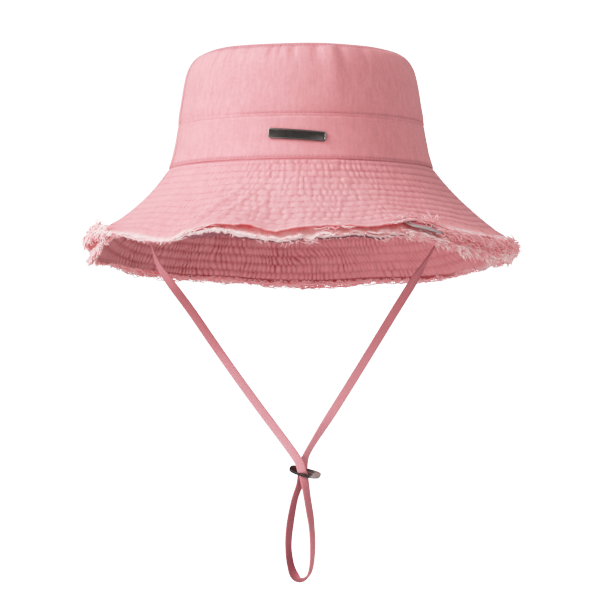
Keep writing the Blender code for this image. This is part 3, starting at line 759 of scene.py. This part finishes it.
def strandPiece(name, strands, thick, radius, material):
    # many short yarns as one bevelled curve, made a mesh; strands is (yarn, point, xyz), thick is (yarn, point)
    curve = bpy.data.curves.new(name, "CURVE")
    curve.dimensions = "3D"
    curve.bevel_depth = radius
    curve.bevel_resolution = 0
    curve.use_fill_caps = True
    for points, sizes in zip(strands, thick):
        spline = curve.splines.new("POLY")
        spline.points.add(len(points) - 1)
        spline.points.foreach_set("co", np.concatenate([points, np.ones((len(points), 1))], axis=1).ravel())
        spline.points.foreach_set("radius", sizes)
    drawn = show(bpy.data.objects.new(name + "Lines", curve))
    mesh = bpy.data.meshes.new_from_object(drawn.evaluated_get(bpy.context.evaluated_depsgraph_get()))
    bpy.data.objects.remove(drawn)
    mesh.name = name
    return finishPiece(name, mesh, material, "hat")


everywhere = {194: 1000, 554: 1000}


def stitchRow(surface, swell, arc, v, radius, ends=everywhere, sign=1, depth=0):
    # short raised loops of thread along a sewn row; ends gives the last v that is sewn, in mm
    count = int(math.radians(arc[1] - arc[0]) * radius / stitchCut["pitch"])
    middle = np.radians(arc[0]) + (np.arange(count) + 0.5) * stitchCut["pitch"] / radius
    middle = middle[v < lookMm(middle, ends)]
    run = np.full(len(middle), v)
    rows = []
    for shift, lift in ((-1, stitchCut["sink"]), (0, stitchCut["rise"]), (1, stitchCut["sink"])):
        at = middle + shift * stitchCut["length"] / 2 / radius
        rows.append(offAt(surface, at, run, swell(at, run) - depth + sign * lift))
    return np.stack(rows, axis=1)


def sewRows(name, rows):
    strands = np.concatenate(rows)
    thick = np.tile([0.8, 1, 0.8], (len(strands), 1))
    return strandPiece(name, strands, thick, stitchCut["radius"], sewingYarn)


# fray: tufts of short yarns along the raw edges, and yarns pulled loose
fringeCut = {
    "radius": 0.27 * mm, "perTuft": 5, "tuft": 1.6 * mm, "root": {302: 2, 311: 4, 345: 4, 360: 2},
    "rolled": {  # mm that the facing's rolled edge shows under its fringe
        240: 0, 242.5: 3.2, 246: 4.6, 250: 4.2, 254: 2.8, 258: 2.4, 262: 1.6, 266: 1.2, 268.4: 2.2, 269.8: 2.4,
        270.6: 0.4, 272.4: 0.5, 274: 2.3, 280: 2, 283: 2.4, 289: 2.2, 293: 1, 297: 0,
    },
    "rollPale": {250: 0.3, 256: 0.5, 276: 0.5, 281: 0.32, 289: 0.3, 297: 0.4, 554: 0.3},
    "bare": {302: -1.5, 309: -0.1, 346: -0.1, 358: -1.5},
    "stout": {
        194: 2.2, 208: 2, 216: 1, 243: 1, 250: 1.5, 286: 1.5, 297: 1, 302: 1, 311: 3, 345: 3, 360: 1.6, 374: 1,
        536: 1, 546: 2, 554: 2.2,
    },
    "sideways": {303: 0, 311: 1.5, 345: 1.5, 356: 0},
    "hang": {206: 1.3, 212: 0.25, 303: 0.25, 314: 0.5, 336: 0.5, 346: 0.4, 356: 0.2, 530: 0.2, 540: 0.8, 554: 1.3},
    "strings": {194: 1, 245: 0.7, 292: 0.8, 300: 1.6, 345: 1.2, 386: 0.8, 554: 1},
    "turnedBack": {
        194: 0.1, 200: 0.2, 212: 0.25, 217: 0, 289: 0, 294: 0.45, 301: 0.35, 306: 0, 352: 0, 357: 0.35, 364: 0,
        540: 0, 554: 0.1,
    },
    "least": 0.8, "depth": 0.4 * mm, "seeds": {"Front": (101, 103), "Back": (102, 104)},
    "taper": {  # share of a yarn's length: thickness
        0: 1, 0.28: 1, 0.55: 0.9, 0.8: 0.75, 1: 0.4,
    },
}


def fringe(name, surface, arc, depth, seed, layer, yarn):
    look, short, wide = layer["fringe"], layer["short"], arc[1] - arc[0]
    chance = np.random.default_rng(seed)
    tufts = int(math.radians(wide) * edgeRadius / fringeCut["tuft"])
    heart = np.radians(arc[0] + wide * (np.arange(tufts) + chance.uniform(0, 1, tufts)) / tufts)
    clumps = crumple(heart * edgeRadius / 0.0045, 0, seed) > lookUp(heart, fringeCut["bare"])
    heart = heart[clumps & (lookUp(heart, look) > fringeCut["least"])]
    many = len(heart)
    count = many * fringeCut["perTuft"]

    def spread(values):  # one value for all yarns of a tuft
        return np.repeat(values, fringeCut["perTuft"])

    def shared(tuft, own):  # one value for the tuft and a little more for each yarn
        return spread(chance.normal(0, tuft, many)) + chance.normal(0, own, count)

    theta = spread(heart) + chance.normal(0, 0.7 * mm / edgeRadius, count)
    size = spread(chance.uniform(0.55, 1.25, many)) * chance.uniform(0.5, 1.1, count)
    reach = lookMm(theta, look) * size
    lean, rise, curl = shared(0.5, 0.35) + lookUp(theta, fringeCut["sideways"]), shared(0.7, 0.5), shared(0.7, 0.6)
    onTop = depth < mm
    back = onTop * (spread(chance.uniform(0, 1, many)) < lookUp(theta, fringeCut["turnedBack"]))
    root = lookMm(theta, fringeCut["root"])
    edge = slant - root - lookMm(theta, short)
    arch = onTop * ease((lookUp(theta, look) - 3.5) / 2) * 2.2 * mm  # long yarns roll over the lip
    rows = []
    for share in fringeCut["taper"]:
        gone = (reach + root) * share
        at = theta + (lean * gone + curl * gone * share) / edgeRadius
        run = edge + gone * (1 - 0.25 * share * np.abs(curl)) * np.where(back, 1 - 1.9 * share, 1)
        lift = np.where(back, 0.6 * mm + np.abs(rise + 1.2) * gone * 0.45, rise * gone * share * 0.4)
        placed = offAt(surface, at, run, lift + arch * 4 * share * (1 - share) - depth)
        placed[:, 2] -= lookUp(theta, fringeCut["hang"]) * gone * share * (1 - back)
        rows.append(placed)
    strands = list(np.stack(rows, axis=1))
    stout = lookUp(theta, fringeCut["stout"]) * chance.uniform(0.7, 1.25, count)
    thick = list(np.array(list(fringeCut["taper"].values())) * stout[:, None])
    walk = np.linspace(0, 1, 14)
    loose = np.sin(np.pi * walk) ** 0.5
    for at in chance.uniform(*np.radians(arc), int(wide * 0.8)):  # yarns pulled loose along the edge
        here = np.array([at])
        if chance.uniform() * 2 > lookUp(here, fringeCut["strings"])[0] or lookUp(here, look)[0] < fringeCut["least"]:
            continue
        along = at + (walk - 0.5) * chance.uniform(7, 24) * mm / edgeRadius
        shift, wave = chance.uniform(0, 100), chance.uniform(0.8, 2.2) * mm
        out = loose * (1.2 * mm + wave * crumple(walk * 3 + shift, 0, seed))
        lift = loose * wave * crumple(walk * 4 + shift, 5.5, seed + 1)
        placed = offAt(surface, along, slant - lookMm(along, short) - 0.6 * mm + out, lift - depth)
        placed[:, 2] -= 0.8 * mm * loose
        strands.append(placed)
        thick.append(np.full(len(walk), 1.15))
    return strandPiece(name, strands, thick, fringeCut["radius"], yarn)


def tangle(name, arc, count, seed, slot, yarn, stout, low):  # loose yarns between the two raw edges
    chance = np.random.default_rng(seed)
    walk = np.linspace(0, 1, 12)
    strands, thick = [], []
    for at in np.radians(chance.uniform(*arc, count)):
        along = at + (walk - 0.5) * chance.uniform(4, 15) * mm / edgeRadius
        shift = chance.uniform(0, 100)
        share = chance.uniform(low, 1) + 0.3 * (1 - low) * crumple(walk * 2 + shift, 0, seed)
        share = np.clip(share, 0.02, 0.98)[:, None]
        run = chance.uniform(-2.5, 1) + 2 * crumple(walk * 2.5 + shift, 3.3, seed)
        run = slant + run * mm
        under = brimUnderAt(along, run) - [0, 0, underDepth]
        strands.append(brimTopAt(along, run) * (1 - share) + under * share)
        thick.append(np.full(len(walk), stout * chance.uniform(0.7, 1.2)))
    return strandPiece(name, strands, thick, fringeCut["radius"], yarn)


def rollAt(theta, down):  # the facing's raw edge rolls under, its shaded side shows below the white rim
    placed = brimUnderAt(theta, slant + 0 * theta)
    torn = 1 + 0.35 * crumple(theta * edgeRadius / 0.004, 0, 91)
    placed[:, :2] *= (1 - 0.006 * down)[:, None]
    placed[:, 2] -= underDepth + lookUp(theta, fringeCut["rolled"]) * torn * mm * down
    return placed


def rollFluff(theta, down):  # bleached along the raw edge
    arc = theta * edgeRadius
    torn = 0.25 * crumple(arc / 0.0024, down / 0.4, 93) + 0.2 * crumple(arc / 0.008, 0, 94)
    return 0.9 * fade((down + torn - lookUp(theta, fringeCut["rollPale"])) / 0.25)


def rollSwell(theta, down):
    return 0.3 * mm * crumple(theta * edgeRadius / 0.005, down, 92)


edgeYarns = {  # directions, number, seed, slot, yarn, stoutness, how near to the facing they start
    "edgeTangle": ((306, 368), 130, 105, "under_canvas", fringeYarn, 1.6, 0.1),
    "edgeCurls": ((276, 281.5), 7, 106, "under_canvas", fringeYarn, 2, 0.1),
    "edgeMat": ((297, 309), 34, 107, "under_canvas", rimYarn, 1.9, 0.7),
    "liningEnds": ((296.5, 304.5), 3, 108, "interlining", liningYarn, 1, 0.1),
}
rollCut = {
    "u": (240, 297), "v": (0, 1), "across": 420, "down": 10, "depth": 0, "thick": 0.4 * mm,
    "radius": edgeRadius, "frayed": rollFluff,
}
for side, arc in halves.items():
    upper, lower, inner = brimPieces[side]
    runs = [brimCut["firstRow"] + i * brimCut["rowPitch"] for i in range(brimCut["rows"])]
    topEnds, underEnds = upperCut["lastRow"], facingCut["lastRow"]
    above = sewRows(f"brimStitches{side}", [
        stitchRow(brimTopAt, topSwell, arc, run, brimRadius, topEnds) for run in runs
    ])
    below = sewRows(f"facingStitches{side}", [
        stitchRow(brimUnderAt, underSwell, arc, run, brimRadius, underEnds, -1, facingDepth) for run in runs
    ])
    sewRows(f"crownStitches{side}", [
        stitchRow(crownAt, crownSwell, arc, bandHeight + crownCut["wallRow"], wallRadius, crownCut["wallEnds"]),
        stitchRow(crownAt, crownSwell, arc, top - crownCut["tipRow"], tipRadius),
    ])
    sewRows(f"bandStitches{side}", [stitchRow(crownAt, bandSwell, arc, crownCut["brimRow"], bandRadius)])
    yarnDepth, (topSeed, underSeed) = fringeCut["depth"], fringeCut["seeds"][side]
    frayed = fringe(f"brimFringe{side}", brimTopAt, arc, yarnDepth, topSeed, upperCut, fringeYarn)
    loose = [below, fringe(
        f"facingFringe{side}", brimUnderAt, arc, underDepth + yarnDepth, underSeed, facingCut, rimYarn,
    )]
    if side == "Front":
        loose += [tangle(name, *row) for name, row in edgeYarns.items()]
        loose.append(clothPiece("facingRoll", rollAt, rollSwell, rollCut, shadedRollCanvas))
print("stitches and fringe made")

# chin strap: flat tape along the routes of the solids; painted shade and painted light, deeper and paler by share of
# the length
strapCut = {
    "width": 6 * mm, "thick": 1.2 * mm, "sides": 16, "step": 2 * mm,
    "left": [
        (-0.103, 0.0, -0.0245), (-0.1028, 0.0, -0.034), (-0.1016, -0.0002, -0.048), (-0.0962, -0.0005, -0.064),
        (-0.087, -0.0009, -0.0775), (-0.074, -0.0013, -0.095), (-0.054, -0.0017, -0.124), (-0.0325, -0.002, -0.154),
        (-0.0112, -0.0022, -0.1825), (-0.004, -0.0022, -0.1925), (-0.0008, -0.0023, -0.198),
        (0.0009, -0.0025, -0.2046),
    ],
    "right": [
        (0.103, 0.0, -0.0245), (0.1005, 0.0, -0.032), (0.0922, 0.0002, -0.048), (0.079, 0.0006, -0.07),
        (0.0625, 0.001, -0.0965), (0.0445, 0.0014, -0.126), (0.0252, 0.0018, -0.157), (0.008, 0.0021, -0.184),
        (0.0026, 0.0022, -0.1945), (0.0014, 0.0022, -0.2018),
    ],
    "loop": [
        (0.0012, -0.0018, -0.203), (0.0028, -0.002, -0.2116), (0.0044, -0.0018, -0.222), (0.0069, -0.001, -0.238),
        (0.0078, -0.0005, -0.252), (0.0072, -0.0002, -0.265), (0.005, -0.0001, -0.2728), (0.0, 0.0, -0.2762),
        (-0.0046, 0.0001, -0.2726), (-0.0074, 0.0002, -0.264), (-0.0085, 0.0005, -0.252), (-0.0073, 0.001, -0.238),
        (-0.0043, 0.0018, -0.222), (-0.0008, 0.0022, -0.2116), (0.0012, 0.0022, -0.2022),
    ],
    "leftShade": (
        {0.25: 0, 0.32: 0.1, 0.5: 0.1, 0.58: 0},
        {0: 0, 0.12: 0.5, 0.22: 0.5, 0.3: 0, 0.48: 0.1, 0.58: 0.6, 0.9: 0.65, 1: 0.3},
    ),
    "rightShade": (
        {0: 0.5, 0.24: 0.45, 0.36: 0.2, 0.48: 0},
        {0: 0, 0.48: 0.05, 0.58: 0.5, 0.9: 0.55, 1: 0.2},
    ),
    "loopShade": (
        {0: 0.15, 0.2: 0.3, 0.35: 0, 0.46: 0.1, 0.53: 0.8, 0.6: 0.8, 0.68: 0.55, 0.8: 0.6, 0.88: 0.4, 1: 0.3},
        {0: 0},
    ),
    "loopTurn": {
        0: 84, 0.025: 82, 0.07: 60, 0.11: 52, 0.19: 51, 0.24: 40, 0.345: 35, 0.43: 25, 0.465: 13, 0.5: 35,
        0.54: 100, 0.57: 126, 0.655: 136, 0.76: 126, 0.81: 130, 0.89: 138, 0.94: 130, 0.98: 102, 1: 98,
    },
    "rounded": (84, 70, 55, 40, 25, 12),
}
halfTape = strapCut["width"] / 2


def walkRoute(points, step):  # even places along the smooth curve, their directions, and the distance walked
    dense = throughPoints(points, np.linspace(0, len(points) - 1, 60 * len(points)))
    walked = np.concatenate([[0], np.cumsum(np.linalg.norm(np.diff(dense, axis=0), axis=1))])
    at = np.linspace(0, walked[-1], int(round(walked[-1] / step)) + 1)
    centre = np.stack([np.interp(at, walked, dense[:, i]) for i in range(3)], axis=1)
    direction = np.gradient(centre, axis=0)
    return at, centre, direction / np.linalg.norm(direction, axis=1)[:, None]


def tapePiece(name, points, turnAt, roundStart, shade):
    at, centre, direction = walkRoute(points, strapCut["step"])
    length = at[-1]
    half = np.full(len(at), halfTape)
    if roundStart:  # half round end, as on the solid
        degrees = np.radians(strapCut["rounded"])
        lead = np.sin(degrees)[:, None] * halfTape
        centre = np.concatenate([centre[0] - direction[0] * lead, centre])
        direction = np.concatenate([np.tile(direction[0], (len(degrees), 1)), direction])
        half = np.concatenate([np.cos(degrees) * halfTape, half])
        at = np.concatenate([-lead[:, 0], at])
    mesh, around, along = gridMesh(name, strapCut["sides"], len(at) - 1)
    ring = np.rint(along * (len(at) - 1)).astype(int)
    turn = turnAt(np.clip(at / length, 0, 1))
    across = np.cross([0, 1, 0], direction)
    across /= np.linalg.norm(across, axis=1)[:, None]
    wide = np.cross(direction, across)
    wide = wide * np.cos(turn)[:, None] + np.cross(direction, wide) * np.sin(turn)[:, None]
    face = np.cross(direction, wide)
    c, s = np.cos(2 * math.pi * around), np.sin(2 * math.pi * around)
    xSection = np.sign(c) * np.abs(c) ** 0.45 * half[ring]
    ySection = np.sign(s) * np.abs(s) ** 0.7 * strapCut["thick"] / 2
    placed = centre[ring] + wide[ring] * xSection[:, None] + face[ring] * ySection[:, None]
    # painted shade (deeper) and painted light (paler) along the tape
    deeper, paler = [readOff(table, np.clip(at / length, 0, 1))[ring] for table in shade]
    if roundStart:  # painted shade, deeper towards its edges
        deeper *= 0.45 + 0.85 * (np.abs(xSection) / half[ring]) ** 3
    drawn = np.stack([xSection, at[ring]], axis=1)
    dressMesh(mesh, placed, drawn, {"crease": deeper, "frayed": paler}, closed=True)
    return finishPiece(name, mesh, tapeCloth, None), centre, length


def leftTurn(share):  # the two straps twist opposite ways
    return -math.pi / 2 * ease((share - 0.10) / 0.22)


def rightTurn(share):
    turn = 0.12 + 0.88 * ease((share - 0.165) / 0.17) - 0.5 * ease((share - 0.76) / 0.16)
    return math.pi / 2 * (turn + 0.4 * ease((share - 0.95) / 0.04))


def loopTurn(share):
    return np.radians(readOff(strapCut["loopTurn"], share))


for side, turnAt in (("left", leftTurn), ("right", rightTurn), ("loop", loopTurn)):
    name, route, straight = f"chinTape{side.title()}", strapCut[side], side != "loop"
    tape, path, length = tapePiece(name, route, turnAt, straight, strapCut[side + "Shade"])
    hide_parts(f"chin_strap_{side}")
    if straight:
        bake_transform(tape)
    else:
        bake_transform(tape)
    print(name, round(length * 1000), "mm")

tabCut = {"down": (0.0240, 0.0020), "depth": 3.2 * mm, "radius": 0.102}
for side, middle in (("left", 180), ("right", 360)):
    half = math.degrees(halfTape / hatCut["halfDepth"])
    cut = {
        "u": (middle - half, middle + half), "v": tabCut["down"], "across": 10, "down": 40,
        "depth": tabCut["depth"], "thick": strapCut["thick"], "radius": tabCut["radius"],
    }
    tab = clothPiece(f"{side}StrapTab", brimAt, noSwell, cut, tapeCloth)
    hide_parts(f"{side}_strap_tab")
print("chin strap made")

# front plate: plain bar with a raised rim, bent to the band, on two posts
plateCut = {
    "length": 37 * mm, "height": 6.6 * mm, "thick": 1.6 * mm, "corner": 1.4 * mm, "rim": 0.8 * mm, "sunk": 0.35 * mm,
    "edge": 0.25 * mm, "middle": 16 * mm, "shift": -2.5 * mm, "tilt": math.radians(-4), "bends": 30,
    "postSpacing": 24 * mm, "postRadius": 0.8 * mm, "postEnd": 1.8 * mm, "paintedHighlight": 0.18,
}


def plateAt(along, up):
    tilt = plateCut["tilt"]
    across = plateCut["shift"] + along * math.cos(tilt) - up * math.sin(tilt)
    height = plateCut["middle"] + along * math.sin(tilt) + up * math.cos(tilt)
    return crownAt(math.radians(270) + across / crownAt(0 * height, height)[:, 0], height)


def metalPiece(name, bm, metal, body):
    bmesh.ops.recalc_face_normals(bm, faces=bm.faces)
    mesh = bpy.data.meshes.new(name)
    bm.to_mesh(mesh)
    bm.free()
    obj = finishPiece(name, mesh, metal, body)
    mesh.set_sharp_from_angle(angle=math.radians(40))
    return obj


def sharpEdges(bm, angle):
    return [e for e in bm.edges if len(e.link_faces) == 2 and e.calc_face_angle() > angle]


def roundOff(bm, edges, size, segments):
    bmesh.ops.bevel(bm, geom=edges, offset=size, segments=segments, profile=0.5, affect="EDGES", material=-1)


bm = bmesh.new()
bmesh.ops.create_cube(bm, size=1)
bmesh.ops.scale(bm, verts=bm.verts, vec=(plateCut["length"], plateCut["height"], plateCut["thick"]))
bmesh.ops.translate(bm, verts=bm.verts, vec=(0, 0, plateCut["thick"] / 2))
corners = [e for e in bm.edges if abs(e.verts[0].co.z - e.verts[1].co.z) > mm]
roundOff(bm, corners, plateCut["corner"], 5)
field = max(bm.faces, key=lambda f: f.calc_center_median().z)
for inset in (plateCut["rim"], plateCut["sunk"] / 2):
    bmesh.ops.inset_region(bm, faces=[field], thickness=inset)
bmesh.ops.translate(bm, verts=field.verts, vec=(0, 0, -plateCut["sunk"]))
roundOff(bm, sharpEdges(bm, 0.8), plateCut["edge"], 2)
for i in range(1, plateCut["bends"]):
    at = plateCut["length"] * (i / plateCut["bends"] - 0.5)
    every = bm.verts[:] + bm.edges[:] + bm.faces[:]
    bmesh.ops.bisect_plane(bm, geom=every, plane_co=(at, 0, 0), plane_no=(1, 0, 0))
for side in (-0.5, 0.5):
    post = Matrix.Translation((side * plateCut["postSpacing"], 0, 0.2 * mm - plateCut["postEnd"] / 2))
    bmesh.ops.create_cone(
        bm, cap_ends=True, segments=16, radius1=plateCut["postRadius"], radius2=plateCut["postRadius"],
        depth=plateCut["postEnd"] + 0.4 * mm, matrix=post,
    )
paintedHighlight = bm.verts.layers.float.new("paintedHighlight")
along, up, out = np.array([v.co for v in bm.verts]).T
for v, place in zip(bm.verts, offAt(plateAt, along, up, out + gap)):
    v[paintedHighlight] = plateCut["paintedHighlight"] * (v.co.z > plateCut["thick"] - 0.15 * mm)  # painted highlight: the top of the raised rim is paler
    v.co = place
frontPlate = metalPiece("frontPlate", bm, gunmetal, "hat")
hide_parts("front_plate")

# slider: flat oval with two slots, dished a little, one end painted paler and duller as a highlight
sliderCut = {
    "centre": (0.0028, 0, -0.2030), "yaw": math.radians(-15), "pitch": math.radians(27),
    "roll": math.radians(8), "length": 21.8 * mm, "depth": 10 * mm, "thick": 1.8 * mm, "fullness": 3,
    "slotLong": 12.6 * mm, "slotWide": 2.8 * mm, "bar": 1.2 * mm, "edge": 0.25 * mm, "dish": 0.5 * mm,
    "highlightFrom": 4.5 * mm, "highlightOver": 1.5 * mm,
}
bm = bmesh.new()
power = 2 / sliderCut["fullness"]
for v in bmesh.ops.create_circle(bm, segments=72, radius=1)["verts"]:
    v.co.x = math.copysign(abs(v.co.x) ** power, v.co.x) * sliderCut["length"] / 2
    v.co.y = math.copysign(abs(v.co.y) ** power, v.co.y) * sliderCut["depth"] / 2
reach = (sliderCut["slotLong"] - sliderCut["slotWide"]) / 2
halfStep = Matrix.Rotation(math.pi / 32, 4, "Z")
for side in (-0.5, 0.5):
    for v in bmesh.ops.create_circle(bm, segments=32, radius=sliderCut["slotWide"] / 2, matrix=halfStep)["verts"]:
        v.co.x += math.copysign(reach, v.co.x)
        v.co.y += side * (sliderCut["bar"] + sliderCut["slotWide"])
bmesh.ops.triangle_fill(bm, use_beauty=True, edges=bm.edges, normal=(0, 0, 1))
bmesh.ops.solidify(bm, geom=bm.faces[:], thickness=sliderCut["thick"])
bmesh.ops.recalc_face_normals(bm, faces=bm.faces)
roundOff(bm, sharpEdges(bm, 1), sliderCut["edge"], 3)
paintedHighlight = bm.verts.layers.float.new("paintedHighlight")
# painted highlight: paler and duller towards the +x end
for v in bm.verts:
    v[paintedHighlight] = float(ease((v.co.x - sliderCut["highlightFrom"]) / sliderCut["highlightOver"]))
    v.co.z += sliderCut["dish"] * (v.co.x / sliderCut["length"] * 2) ** 2
stand = Euler((sliderCut["pitch"], sliderCut["roll"], 0)).to_matrix().to_4x4()
stand = Matrix.Translation(sliderCut["centre"]) @ stand @ Matrix.Rotation(sliderCut["yaw"], 4, "Z")
bmesh.ops.transform(bm, matrix=stand, verts=bm.verts)
tapeSlider = metalPiece("tapeSlider", bm, dullHighlightMetal, "slider")
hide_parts("slider")
for node in ("plate_washer_left", "plate_washer_right"):
    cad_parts[node].data.materials.clear()
    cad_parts[node].data.materials.append(gunmetal)
print("metal made")

# studio: pale floor far below, big soft key from the left, weak fill from the right
studio = {
    "floor": -1, "half": 6, "paper": "#F4F4F4", "air": 0.44, "seenAir": 2.5, "white": 2,
    "tones": {0.2: 0.2, 0.4: 0.4, 0.62: 0.62, 0.81: 0.725, 1.07: 0.823, 1.19: 0.863, 1.6: 0.97},
}
bm = bmesh.new()
bmesh.ops.create_grid(bm, x_segments=1, y_segments=1, size=studio["half"])
bmesh.ops.translate(bm, verts=bm.verts, vec=(0, 0, studio["floor"]))
mesh = bpy.data.meshes.new("paperFloor")
bm.to_mesh(mesh)
bm.free()
mesh.materials.append(newMaterial("matt white paper", {"Base Color": linear(studio["paper"]), "Roughness": 0.95})[0])
show(bpy.data.objects.new("paperFloor", mesh))

# the lens sees plain white air, the cloth a dimmer one
scene.world = bpy.data.worlds.new("studioAir")
scene.world.use_nodes = True
tree = scene.world.node_tree
seen = addNode(tree, "LightPath", "Is Camera Ray")
strength = addRange(tree, seen, 0, 1, studio["air"], studio["seenAir"])
feed(tree, tree.nodes["Background"], {"Color": (1, 1, 1, 1), "Strength": strength})

lamps = {
    "keyLight": {"place": (-1.655, -0.75, 1.26), "aim": (0, 0, 0), "size": 1.2, "watts": 10.1},
    "fillLight": {"place": (1.3, -1.4, 1.6), "aim": (0, 0, 0), "size": 1.6, "watts": 3},
    "cardLight": {"place": (-1.3, -1.5, -0.55), "aim": (0.03, 0, -0.03), "size": 1, "watts": 2.1},
}
for name, lamp in lamps.items():
    light = bpy.data.lights.new(name, "AREA")
    light.size = lamp["size"]
    light.energy = lamp["watts"]
    light.spread = math.radians(70)
    show(bpy.data.objects.new(name, light), lamp["place"], lamp["aim"])

# a print-like tone curve: bright pinks roll off towards white, over twice the range
shown = scene.view_settings
shown.view_transform = "Standard"
shown.use_curve_mapping = True
shown.curve_mapping.white_level = (studio["white"],) * 3
curve = shown.curve_mapping.curves[3]
curve.points[0].location = (0, 0)
curve.points[1].location = (1, 1)
for given, printed in studio["tones"].items():
    curve.points.new(given / studio["white"], printed)
shown.curve_mapping.update()
print("studio made")
